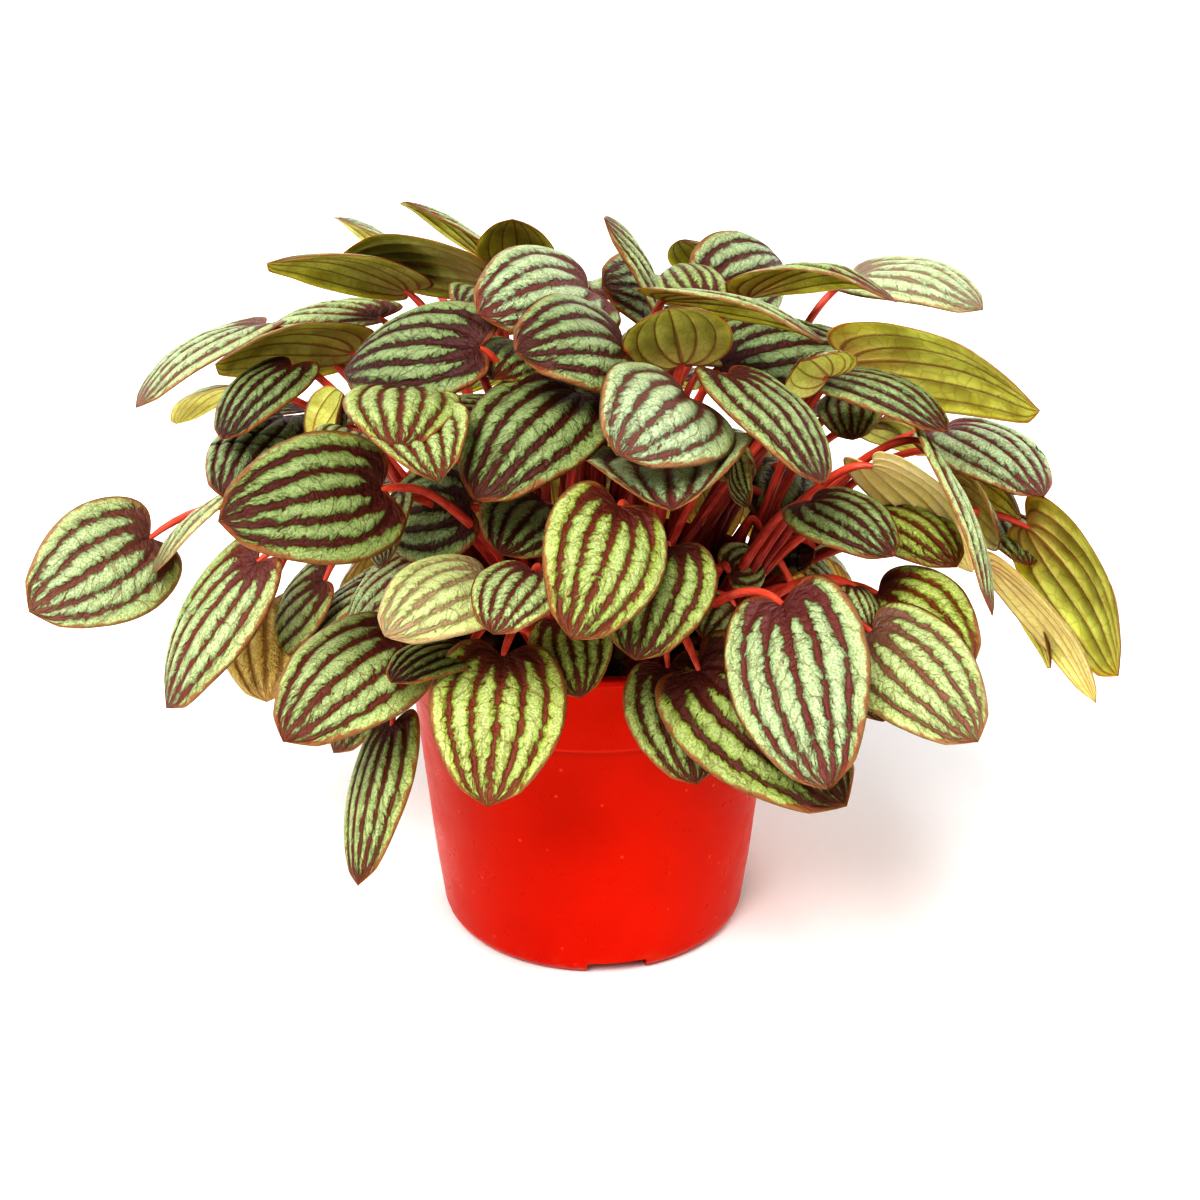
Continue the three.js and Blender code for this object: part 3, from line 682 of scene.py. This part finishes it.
# How far a point of the blade lies from the edge of the nearest main vein, in millimetres, below 0 inside
# the vein. The map holds t across and s along; the blade is taken to be of the nominal size.
def veinDistance(finish, across, along, halfVeins, wobble):
    outline = finish.math("POWER", finish.math("SINE", finish.times(along, pi)), 0.85)
    reach = finish.times(outline, bladeSettings["nominalWidth"] / 2)
    bent = finish.math("DIVIDE", wobble, finish.plus(reach, 2))
    shifted = finish.plus(finish.math("ABSOLUTE", across), bent)
    taper = finish.step(along, 0.1, 1.0, 1.0, 0.25)
    nearest = None
    for vein, half in zip(bladeSettings["veins"], halfVeins):
        away = finish.times(finish.math("ABSOLUTE", finish.minus(shifted, vein)), reach)
        away = finish.minus(away, finish.times(taper, half))
        nearest = away if nearest is None else finish.math("MINIMUM", nearest, away)
    return nearest, reach


# The map, spread out to the nominal blade's size in metres.
def flatBlade(finish, across, along):
    wide, long = bladeSettings["nominalWidth"] / 2 * mm, bladeSettings["nominalLength"] * mm
    return finish.times(across, wide), finish.times(along, long)


def upperFinish():
    upper = upperSettings
    finish = Finish("leaf_upper")
    mix, step, swing = finish.mix, finish.step, finish.swing
    plus, minus, times = finish.plus, finish.minus, finish.times
    place = finish.place()
    across, along = finish.uv()
    yellow, silver, dark, chance = finish.tone()
    broad = finish.noise(place, 5, detail=3)
    fine = finish.noise(place, 1.1, detail=5, roughness=0.7)
    grainy = finish.noise(place, 0.6, detail=3, roughness=0.7)
    patchy = finish.noise(place, 6, detail=2)
    rim = finish.math("ABSOLUTE", across)

    # The blade's flat shape, bent a little: rows of plump islands lean away from the midrib.
    flatAcross, flatAlong = flatBlade(finish, across, along)
    slant = minus(flatAlong, times(rim, upper["islandLean"] * mm))
    cloud = finish.noise(place, upper["bendClouds"], detail=4, output="Color")
    bend = finish.scaled(cloud, (upper["bend"] * mm, upper["bend"] * mm, 0.0))
    flat = finish.vectorMath("ADD", finish.vector(flatAcross, slant, chance), bend)
    wide = finish.scaled(flat, (0.8, 1, 1))
    islands = finish.cells(wide, upper["islands"])
    shores = finish.shores(wide, upper["islands"])

    # The main veins spread where they meet at the stalk and thin out towards the point. The islands bulge
    # into their edges.
    gap, reach = veinDistance(finish, across, along, upper["halfVeins"], swing(broad, 0.5, upper["wander"]))
    spikes = finish.noise(finish.scaled(flat, (0.3, 1, 1)), 0.9, detail=2, roughness=0.6, distortion=0.3)
    # How dark the leaf is: partly its own darkness and partly painted shade on leaves deep in the plant.
    deep = finish.math("MAXIMUM", dark, 0.0)
    gap = minus(gap, step(along, 0.03, 0.38, upper["baseSpread"], 0.0))
    gap = minus(gap, times(deep, upper["darkSpread"]))
    gap = minus(gap, step(spikes, 0.52, 0.80, 0.0, upper["spikes"]))
    gap = minus(gap, swing(islands, 0.36, upper["islandBulge"]))
    gap = plus(gap, swing(fine, 0.5, upper["ragged"]))
    main = step(gap, -0.15, 0.4, 1.0, 0.0)

    # Small veins run out between the islands and thin away, and a coarser web joins the main veins.
    thread = step(gap, 0.2, 2.6, 0.085, 0.0)
    small = step(minus(shores, thread), -0.04, 0.03, 1.0, 0.0)
    small = times(small, step(patchy, 0.35, 0.65, 0.1, 0.5))
    webbed = finish.shores(finish.scaled(flat, (0.9, 1, 1)), upper["webCells"])
    web = step(plus(webbed, swing(fine, 0.5, 0.05)), 0.010, 0.030, 0.5, 0.0)
    finest = step(finish.shores(flat, upper["finestCells"]), 0.0, 0.13, 1.0, 0.0)

    # The margin is a narrow reddish band.
    edge = times(minus(1, rim), reach)
    edge = plus(edge, swing(fine, 0.5, 1.1))
    edge = minus(edge, swing(islands, 0.4, 1.2))
    margin = step(edge, 0.35, 1.2, 1.0, 0.0)
    nearMargin = step(rim, 0.6, 1.0)

    # Mottled green between the veins, silvery towards the midrib and yellower towards the margins.
    silvery = minus(silver, times(nearMargin, 0.3), clamp=True)
    limey = plus(yellow, times(nearMargin, 0.25), clamp=True)
    green = mix(limey, upper["mint"], upper["lime"])
    green = mix(silvery, green, upper["silver"])
    green = mix(step(yellow, 1.0, 2.0), green, upper["straw"])
    # Paler in the middle of each island: a painted highlight on its bulge.
    green = mix(step(gap, 0.3, 2.2, 0.0, 0.42), green, upper["pale"])
    shades = (
        step(grainy, 0.60, 0.38, 0.0, 0.50),
        # Darker next to the main veins: painted shade in their sunken grooves.
        step(gap, 1.3, 0.1, 0.0, 0.45),
        times(finest, step(patchy, 0.35, 0.7, 0.05, 0.25)),
        # a dark leaf, partly its own colour and partly painted shade deep in the plant
        times(deep, 0.8),
    )
    for amount in shades:
        green = mix(amount, green, upper["shade"])

    # The veins are darkest near the stalk, along their middles and on a dark leaf, whose darkness is partly
    # its own and partly painted shade.
    # On silvery leaves the veins are mauve: their own purple, lightened by a painted sheen.
    vein = mix(silver, upper["vein"], upper["mauveWithSheen"])
    deepVein = mix(silver, upper["deepVein"], upper["deepMauveWithSheen"])
    vein = mix(step(along, 0.04, 0.42), deepVein, vein)
    vein = mix(times(deep, 1.5, clamp=True), vein, upper["darkVein"])
    vein = mix(step(gap, -0.2, -1.2, 0.0, 0.4), vein, deepVein)
    fineVein = mix(0.6, green, vein)
    colour = mix(small, green, fineVein)
    colour = mix(web, colour, fineVein)
    colour = mix(main, colour, vein)
    colour = mix(times(margin, 0.85), colour, upper["margin"])
    # Dark below 0 turns the leaf pale: a painted glow of light through the blade.
    paintedGlow = mix(step(yellow, 0.5, 1.8), upper["paleGlow"], upper["straw"])
    colour = mix(times(dark, -0.75, clamp=True), colour, paintedGlow)
    finish.set("Base Color", colour)

    height = minus(times(grainy, 0.5), times(small, 0.5))
    height = minus(height, times(finish.math("MAXIMUM", main, web), 0.6))
    height = minus(height, times(islands, 0.6))
    finish.bump(height, upper["relief"])
    finish.set("Roughness", step(fine, 0.3, 0.7, 0.34, 0.50))
    finish.fleshy(*upper["soak"])
    return finish.material


underSettings = dict(
    olive=(0.46, 0.46, 0.115),
    pale=(0.70, 0.73, 0.25),
    straw=(0.94, 0.76, 0.42),
    dark=(0.10, 0.085, 0.016),
    blush=(0.50, 0.26, 0.13),
    vein=(0.26, 0.12, 0.035),
    margin=(0.28, 0.09, 0.03),
    halfVeins=(0.5, 0.3, 0.2),
    wander=0.5,
    netCells=3.4,
    relief=0.35,
    soak=(0.65, 2.6),
)


def underFinish():
    under = underSettings
    finish = Finish("leaf_underside")
    mix, step = finish.mix, finish.step
    place = finish.place()
    across, along = finish.uv()
    yellow, _, dark, chance = finish.tone()
    fine = finish.noise(place, 1.3, detail=4, roughness=0.6)
    broad = finish.noise(place, 9, detail=2)
    wobble = finish.swing(fine, 0.5, under["wander"])
    gap, reach = veinDistance(finish, across, along, under["halfVeins"], wobble)
    main = step(gap, -0.1, 0.35, 1.0, 0.0)
    net = finish.shores(finish.vector(*flatBlade(finish, across, along), chance), under["netCells"])
    small = step(net, 0.01, 0.09, 0.6, 0.0)
    edge = finish.times(finish.minus(1, finish.math("ABSOLUTE", across)), reach)
    margin = step(edge, 0.3, 1.0, 1.0, 0.0)
    colour = mix(step(broad, 0.3, 0.7), under["olive"], under["pale"])
    colour = mix(step(yellow, 1.0, 2.0), colour, under["straw"])
    colour = mix(step(along, 0.5, 0.0, 0.0, 0.45), colour, under["blush"])
    # A dark leaf, partly its own colour and partly painted shade deep in the plant.
    colour = mix(finish.math("MAXIMUM", dark, 0.0), colour, under["dark"])
    colour = mix(finish.times(small, 0.35), colour, under["vein"])
    colour = mix(finish.times(main, 0.75), colour, under["vein"])
    colour = mix(margin, colour, under["margin"])
    # Dark below 0 turns the underside towards straw: a painted glow of light through the blade.
    colour = mix(finish.times(dark, -0.7, clamp=True), colour, under["straw"])
    finish.set("Base Color", colour)
    finish.bump(finish.plus(finish.times(main, 0.8), finish.times(small, 0.3)), under["relief"])
    finish.set("Roughness", step(fine, 0.3, 0.7, 0.45, 0.6))
    finish.fleshy(*under["soak"])
    return finish.material


def bezier(points, u):
    a, b, c, d = points
    v = 1 - u
    return a * v ** 3 + b * (3 * v * v * u) + c * (3 * v * u * u) + d * u ** 3


def bezierWay(points, u):
    a, b, c, d = points
    v = 1 - u
    return ((b - a) * (3 * v * v) + (c - b) * (6 * v * u) + (d - c) * (3 * u * u)).normalized()


# A stalk climbs out of its stem, passes over the pot's lip and comes down to the notch of its blade.
def stalkCurve(leaf):
    stalk = stalkSettings
    start, end = leaf["start"], leaf["base"]
    way = end - start
    rise = leaf["rise"]
    if rise is None:
        rise = max(stalk["rise"] * way.length, stalk["overLip"] - end.z)
    up = Vector((0, 0, rise))
    near = end - way * stalk["nearing"] - leaf["along"] * (stalk["straight"] * way.length) + up
    return (start, start + way * stalk["leaving"] + up, near, end)


# The middle of a stalk at each of its rows, and two directions square to it.
def stalkFrames(leaf):
    curve = stalkCurve(leaf)
    along = stalkSettings["along"]
    frames = []
    level = None
    for i in range(along + 1):
        way = bezierWay(curve, i / along)
        if level is None:
            level = Vector((-way.y, way.x, 0))
        level = (level - way * level.dot(way)).normalized()
        frames.append((bezier(curve, i / along), level, way.cross(level)))
    return frames


# A stalk is a round tube, a little wavy, which tapers into the notch and ends inside its blade.
def addStalk(mesh, leaf):
    stalk = stalkSettings
    frames = stalkFrames(leaf)
    along = stalk["along"]
    number = leaf["number"]
    toneLayer = mesh.verts.layers.float_color["tone"]
    made = bmesh.ops.create_grid(mesh, x_segments=stalk["around"], y_segments=along, size=1)["verts"]
    places = {}
    for vertex in made:
        u = (vertex.co.x + 1) / 2
        row = round((vertex.co.y + 1) / 2 * along)
        share = row / along
        places[vertex] = (u, share)
        middle, first, second = frames[row]
        radius = mixed(stalk["footRadius"], stalk["endRadius"], min(1, share * 1.25))
        late = max(0, (share - stalk["tipStart"]) / (1 - stalk["tipStart"]))
        radius *= 1 - stalk["tipThins"] * late ** 1.5
        radius *= 1 + stalk["swell"] * noise.noise(Vector((share * 9, number * 2.3, 0)))
        angle = 2 * pi * u
        spots = [Vector((share * 3, number * 1.9, axis * 5)) for axis in range(3)]
        sway = Vector([stalk["sway"] * noise.noise(spot) for spot in spots]) * sin(pi * share)
        vertex.co = (middle + sway + (first * cos(angle) + second * sin(angle)) * radius) * mm
        vertex[toneLayer] = (share, leaf["tone"][3], 0, 1)
    writeMap(mesh, places, {face for vertex in made for face in vertex.link_faces})


# A short, stout stem with rings where old leaves have fallen. Its first and last rows close its two ends.
def addStem(mesh, foot, number):
    stem = stemSettings
    low, high = soilTop - stem["below"], soilTop + stem["height"]
    scars = stem["scars"]
    last = scars + 3
    toneLayer = mesh.verts.layers.float_color["tone"]
    made = bmesh.ops.create_grid(mesh, x_segments=stem["around"], y_segments=last, size=1)["verts"]
    for vertex in made:
        angle = pi * vertex.co.x
        row = round((vertex.co.y + 1) / 2 * last)
        share = min(max(row - 1, 0) / scars, 1)
        radius = mixed(stem["radius"], stem["top"], share) - stem["slack"]
        lumps = noise.noise(Vector((cos(angle), sin(angle), share * 3 + number)) * 1.5)
        radius *= 1 + stem["uneven"] * lumps
        radius += stem["ringOut"] if row % 2 else -stem["ringIn"]
        if row in (0, last):
            radius = 0.01
        height = mixed(low, high + (stem["crown"] if row == last else 0), share)
        x, y = foot.x + radius * cos(angle), foot.y + radius * sin(angle)
        vertex.co = Vector((x, y, height)) * mm
        vertex[toneLayer] = (0.0, 0.5, 1.0, 1)


stalkColours = dict(
    # foot is the stalk's red with painted shade, for the dark middle of the plant
    foot=(0.22, 0.010, 0.012),
    end=(0.58, 0.075, 0.042),
    streak=(0.72, 0.20, 0.12),
    blotch=(0.13, 0.008, 0.014),
    bark=(0.10, 0.045, 0.022),
    paleBark=(0.20, 0.13, 0.05),
)


def stalkFinish():
    colours = stalkColours
    finish = Finish("leaf_stalk")
    mix, step = finish.mix, finish.step
    place = finish.place()
    share, chance, woody, _ = finish.tone()
    around, along = finish.uv()
    drawnOut = finish.vector(finish.times(around, 12 * mm), finish.times(along, 12 * mm), chance)
    streaks = finish.noise(drawnOut, 0.8, detail=4)
    blotches = finish.noise(place, 6, detail=3)
    # Darker towards the foot: painted shade of the plant's dark middle.
    colour = mix(step(share, 0.1, 0.8), colours["foot"], colours["end"])
    colour = mix(finish.times(step(streaks, 0.35, 0.7), 0.5), colour, colours["streak"])
    colour = mix(step(blotches, 0.45, 0.75, 0.0, 0.45), colour, colours["blotch"])
    bark = mix(step(blotches, 0.3, 0.7), colours["bark"], colours["paleBark"])
    finish.set("Base Color", mix(woody, colour, bark))
    finish.bump(finish.plus(streaks, blotches), 0.25)
    finish.set("Roughness", step(streaks, 0.3, 0.7, 0.32, 0.48))
    return finish.material


def newMesh():
    mesh = bmesh.new()
    mesh.loops.layers.uv.new("blade")
    mesh.verts.layers.float_color.new("tone")
    return mesh


# Joins what the grids have in common and turns the faces outwards.
def closed(mesh, reach):
    bmesh.ops.remove_doubles(mesh, verts=mesh.verts, dist=reach * mm)
    outward(mesh)
    return mesh


leafUpper, leafUnder, stalkRed = upperFinish(), underFinish(), stalkFinish()

for i, stem in enumerate(stems):
    node = "leafy_stem_%02d" % (i + 1)
    blades, stalks = newMesh(), newMesh()
    addStem(stalks, stem["foot"], i)
    for leaf in stem["leaves"]:
        addBlade(blades, leaf)
        addStalk(stalks, leaf)
    pieceOf(closed(blades, 0.002), node + "_blades", (node,), (leafUpper, leafUnder))
    pieceOf(closed(stalks, 0.02), node + "_stalks", (node,), (stalkRed,))
print("grew the leaves and stalks")

potSettings = dict(
    rimRadius=60,
    footRadius=47,
    height=106,
    wall=1.4,
    lipWidth=1.6,
    lipHeight=2.4,
    collarHeight=24,
    collarStep=0.9,
    heelRadius=5,
    floorThickness=6,
    channelCount=4,
    channelWidth=18,
    channelHeight=4.4,
    channelStart=20,
    firstChannel=-81,
    channelEdge=0.6,
    drainRadius=4,
    drainRing=30,
    drainDepth=18,
    drainSides=28,
    turns=144,
    sharpAngle=34,
    red=(0.43, 0.008, 0.0),
    brightRed=(0.50, 0.012, 0.0),
    scuff=(0.80, 0.035, 0.012),
    fleck=(0.95, 0.16, 0.08),
    innerShade=(0.045, 0.016, 0.010),
    dust=(0.40, 0.12, 0.06),
    innerShadeSlope=0.0991,  # the wall's outer face for the painted shade: how fast it widens, and its radius at the foot
    innerShadeFoot=47.05,
    shineTint=(1.0, 0.5, 0.2),
)


# The wall's outer radius, below its lip.
def wallRadius(z):
    pot = potSettings
    slope = (pot["rimRadius"] - pot["lipWidth"] - pot["collarStep"] - pot["footRadius"]) / pot["height"]
    body = pot["footRadius"] + slope * z
    return body + pot["collarStep"] if z > pot["height"] - pot["collarHeight"] else body


def arc(middle, radius, first, last, steps):
    angles = [radians(mixed(first, last, i / steps)) for i in range(steps + 1)]
    return [(middle[0] + radius * cos(a), middle[1] + radius * sin(a)) for a in angles]


# The section of the wall and floor, from the middle of the foot out, up and back down inside.
def potSection():
    pot = potSettings
    height, wall, heel, rim = pot["height"], pot["wall"], pot["heelRadius"], pot["rimRadius"]
    collar, lip, floor = height - pot["collarHeight"], height - pot["lipHeight"], pot["floorThickness"]
    inner = wallRadius(height) - wall
    points = [(0.01, 0), (12, 0), (24, 0), (36, 0)]
    points += arc((pot["footRadius"] - heel, heel), heel, -90, 0, 8)
    points += [(wallRadius(z), z) for z in (20, 40, 60, collar - 1.6)]
    points += [(wallRadius(collar - 1) + 0.12, collar - 1.0), (wallRadius(collar + 1) - 0.2, collar - 0.3)]
    points += [(wallRadius(collar + 1) - 0.02, collar + 0.3), (wallRadius(95), 95)]
    points += [(wallRadius(lip), lip - 0.7), (wallRadius(lip) + 0.2, lip - 0.25)]
    points += arc((rim - 0.5, lip + 0.5), 0.5, -90, 0, 3)
    points += arc((rim - 0.7, height - 0.7), 0.7, 0, 90, 4)
    points += arc((inner + 0.5, height - 0.5), 0.5, 90, 180, 3)
    points += [(wallRadius(z) - wall, z) for z in (96, collar - 1, 45)]
    points += [(wallRadius(floor) - wall - 0.2, floor + 3.5), (wallRadius(floor) - wall - 2, floor + 0.6)]
    return points + [(36, floor), (20, floor), (0.01, floor)]


# A turned body of the pot or the soil, from its section in millimetres.
def turnedBody(section, turns):
    mesh = turned([(out * mm, up * mm) for out, up in section], turns)
    bmesh.ops.remove_doubles(mesh, verts=mesh.verts, dist=0.03 * mm)
    return mesh


# The channels under the floor and their drain holes, which are cut out of the turned shell.
def cutterMesh():
    pot = potSettings
    mesh = bmesh.new()
    length = pot["footRadius"]
    size = Matrix.Diagonal((length * mm, pot["channelWidth"] * mm, 2 * pot["channelHeight"] * mm, 1))
    move = Matrix.Translation(((pot["channelStart"] + length / 2) * mm, 0, 0))
    for i in range(pot["channelCount"]):
        turn = Matrix.Rotation(radians(pot["firstChannel"] + 360 * i / pot["channelCount"]), 4, "Z")
        made = bmesh.ops.create_cube(mesh, size=1)["verts"]
        bmesh.ops.transform(mesh, matrix=turn @ move @ size, verts=made)
        # The edges of the channel's roof are rounded.
        level = [edge for edge in mesh.edges if edge.calc_length() > 2 * pot["channelHeight"] * mm + 0.001]
        roof = [edge for edge in level if all(end in made and end.co.z > 0 for end in edge.verts)]
        bmesh.ops.bevel(mesh, geom=roof, offset=pot["channelEdge"] * mm, segments=3, profile=0.5,
                        affect="EDGES", material=-1)
        hole = turn @ Matrix.Translation((pot["drainRing"] * mm, 0, 0))
        bmesh.ops.create_cone(mesh, cap_ends=True, segments=pot["drainSides"], radius1=pot["drainRadius"] * mm,
                              radius2=pot["drainRadius"] * mm, depth=pot["drainDepth"] * mm, matrix=hole)
    outward(mesh)
    return mesh


# Takes the cutter's bodies out of the mesh, and gives the result as a new one.
def cutAway(mesh, cutter):
    outward(mesh)
    holders = [objectOf(source, "cut") for source in (mesh, cutter)]
    cut = holders[0].modifiers.new("cut", "BOOLEAN")
    cut.operation, cut.solver, cut.object, cut.use_self = "DIFFERENCE", "EXACT", holders[1], True
    shown = holders[0].evaluated_get(bpy.context.evaluated_depsgraph_get())
    result = bmesh.new()
    result.from_mesh(shown.to_mesh())
    shown.to_mesh_clear()
    for holder in holders:
        data = holder.data
        bpy.data.objects.remove(holder)
        bpy.data.meshes.remove(data)
    return result


def potFinish():
    pot = potSettings
    finish = Finish("pot_plastic")
    mix, step = finish.mix, finish.step
    place = finish.place()
    height = finish.fill(finish.node("ShaderNodeSeparateXYZ"), (place,)).outputs[2]
    clouds = finish.noise(place, 45, detail=3)
    marks = finish.noise(place, 9, detail=6, roughness=0.7)
    flecks = finish.cells(place, 7)
    scratches = finish.noise(finish.scaled(place, (1, 1, 0.05)), 0.8, detail=3)
    colour = mix(step(clouds, 0.3, 0.7), pot["red"], pot["brightRed"])
    colour = mix(step(marks, 0.60, 0.74, 0.0, 0.22), colour, pot["scuff"])
    colour = mix(step(flecks, 0.10, 0.05, 0.0, 0.35), colour, pot["fleck"])
    # The inside of the wall above the soil is painted dark, a little blotchy: painted shade under the plant.
    # Inside is how far a point lies within the wall's outer face, in metres.
    around = finish.vectorMath("LENGTH", finish.scaled(place, (1, 1, 0)), output="Value")
    face = finish.plus(finish.times(height, pot["innerShadeSlope"]), pot["innerShadeFoot"] * mm)
    inside = finish.minus(face, around)
    innerShaded = finish.times(step(inside, -0.0001, 0.0003), step(height, 0.1045, 0.1005))
    innerShaded = finish.times(innerShaded, step(height, 0.078, 0.082))
    innerShaded = finish.times(innerShaded, step(marks, 0.2, 0.5, 0.75, 1.0))
    colour = mix(innerShaded, colour, pot["innerShade"])
    # A little dust at the foot.
    dusty = finish.times(step(height, 0.010, 0.0), step(marks, 0.45, 0.6, 0.0, 0.35))
    finish.set("Base Color", mix(dusty, colour, pot["dust"]))
    rough = step(marks, 0.3, 0.7, 0.26, 0.40)
    finish.set("Roughness", finish.plus(rough, finish.times(innerShaded, 0.4), clamp=True))
    finish.set("Specular IOR Level", 0.3)
    finish.set("Specular Tint", pot["shineTint"])
    finish.bump(finish.plus(marks, finish.times(scratches, 0.4)), 0.06)
    return finish.material


potShell = cutAway(turnedBody(potSection(), potSettings["turns"]), cutterMesh())
pieceOf(potShell, "pot_shell", ("pot",), (potFinish(),), sharpAngle=potSettings["sharpAngle"])
print("made the pot")

soilSettings = dict(
    gap=0.5,
    bump=1.6,
    sunk=0.8,
    rings=34,
    turns=72,
    crumbs=620,
    crumbSize=(0.5, 1.7),
    crumbLumps=0.35,
    dark=(0.012, 0.006, 0.004),
    brown=(0.050, 0.024, 0.013),
    fibre=(0.11, 0.055, 0.026),
    grit=(0.16, 0.12, 0.085),
)


def soilHeight(x, y):
    place = Vector((x, y, 0))
    lumps = 0.75 * noise.noise(place * 0.09) + 0.5 * noise.noise(place * 0.31)
    lumps += 0.3 * noise.noise(place * 0.8)
    return soilTop - soilSettings["sunk"] + soilSettings["bump"] * lumps


# The soil's section, from the middle of the pot's floor out, up and in again over the top.
def soilSection(gap, edge):
    floor = potSettings["floorThickness"] + soilSettings["gap"]
    rings = soilSettings["rings"]
    points = [(0.01, floor), (20, floor), (wallRadius(floor) - gap - 3, floor + 0.4)]
    points += [(wallRadius(10) - gap - 0.4, 10.5)]
    points += [(wallRadius(z) - gap, z) for z in (30, 60, 83)]
    points += [(edge, soilTop - 3)]
    return points + [(edge * (1 - i / rings), soilTop) for i in range(rings)] + [(0.01, soilTop)]


def buildSoil():
    soil = soilSettings
    gap = potSettings["wall"] + soil["gap"]
    edge = wallRadius(soilTop) - gap
    mesh = turnedBody(soilSection(gap, edge), soil["turns"])
    for vertex in mesh.verts:
        if vertex.co.z > (soilTop - 0.5) * mm:
            vertex.co.z = soilHeight(vertex.co.x / mm, vertex.co.y / mm) * mm
    dice = random.Random(3)
    for _ in range(soil["crumbs"]):
        radius = (edge - 1.5) * sqrt(dice.random())
        angle = dice.uniform(0, 2 * pi)
        x, y = radius * cos(angle), radius * sin(angle)
        size = mixed(*soil["crumbSize"], dice.random() ** 2)
        made = bmesh.ops.create_icosphere(mesh, subdivisions=1, radius=size * mm)["verts"]
        for vertex in made:
            vertex.co *= 1 + soil["crumbLumps"] * noise.noise(vertex.co / mm * 0.9 + Vector((x, y, 0)))
        axis = (dice.uniform(-1, 1), dice.uniform(-1, 1), dice.uniform(-1, 1))
        turn = Quaternion(axis, dice.uniform(0, 6)).to_matrix().to_4x4()
        flat = Matrix.Diagonal((1, dice.uniform(0.6, 1), dice.uniform(0.45, 0.9), 1))
        move = Matrix.Translation(Vector((x, y, soilHeight(x, y) + 0.2 * size)) * mm)
        bmesh.ops.transform(mesh, matrix=move @ turn @ flat, verts=made)
    outward(mesh)
    return mesh


def soilFinish():
    soil = soilSettings
    finish = Finish("potting_soil")
    mix, step = finish.mix, finish.step
    place = finish.place()
    clods = finish.noise(place, 6, detail=5, roughness=0.65)
    grit = finish.cells(place, 1.3)
    fibres = finish.noise(finish.scaled(place, (1, 0.25, 1)), 0.7, detail=3)
    colour = mix(step(clods, 0.3, 0.7), soil["dark"], soil["brown"])
    colour = mix(step(fibres, 0.56, 0.72, 0.0, 0.6), colour, soil["fibre"])
    finish.set("Base Color", mix(step(grit, 0.16, 0.08, 0.0, 0.4), colour, soil["grit"]))
    finish.set("Roughness", step(clods, 0.3, 0.7, 0.85, 1.0))
    finish.set("Specular IOR Level", 0.2)
    finish.bump(finish.plus(clods, finish.times(grit, 0.5)), 0.8)
    return finish.material


pieceOf(buildSoil(), "soil_bed", ("soil",), (soilFinish(),))
print("filled the pot")

stageSettings = dict(
    colour=(0.90, 0.90, 0.90),
    section=((0.01, 0), (3, 0), (6, 0), (7.4, 0.12), (8.3, 0.55), (8.8, 1.3), (9, 2.6)),  # metres: out, up
    below=0.05,
    turns=64,
    sky=0.27,
    # name, the way from the plant to the light, the light's softness in degrees, and its strength
    suns=(
        ("key", (-0.3, -0.75, 1.0), 34, 2.8),
        ("fill", (0.8, -1.0, 0.45), 60, 0.5),
        ("left edge", (-1.0, 0.8, 0.5), 50, 0.9),
        ("right edge", (1.0, 0.8, 0.5), 50, 0.9),
    ),
)


# A level floor that curves up far behind the plant, on all sides.
def addFloor():
    stage = stageSettings
    mesh = turned([(out, up - stage["below"] * mm) for out, up in stage["section"]], stage["turns"])
    bmesh.ops.contextual_create(mesh, geom=[v for v in mesh.verts if v.co.to_2d().length < 0.02])
    outward(mesh)
    if next(face for face in mesh.faces).normal.z < 0:
        bmesh.ops.reverse_faces(mesh, faces=mesh.faces)
    smoothFaces(mesh)
    finish = Finish("floor")
    finish.set("Base Color", stage["colour"])
    finish.set("Roughness", 0.9)
    objectOf(mesh, "floor", (finish.material,))


def addSun(name, towards, softness, strength):
    data = bpy.data.lights.new(name, "SUN")
    data.angle, data.energy = radians(softness), strength
    addToScene(name, data).rotation_euler = Vector(towards).to_track_quat("Z", "Y").to_euler()


def lightScene():
    world = bpy.data.worlds.new("studio")
    world.use_nodes = True
    sky = world.node_tree.nodes["Background"].inputs
    sky["Color"].default_value = (1, 1, 1, 1)
    sky["Strength"].default_value = stageSettings["sky"]
    bpy.context.scene.world = world
    for sun in stageSettings["suns"]:
        addSun(*sun)
    bpy.context.scene.view_settings.view_transform = "Standard"
    bpy.context.scene.view_settings.look = "Very High Contrast"


addFloor()
lightScene()
print("lit the scene")
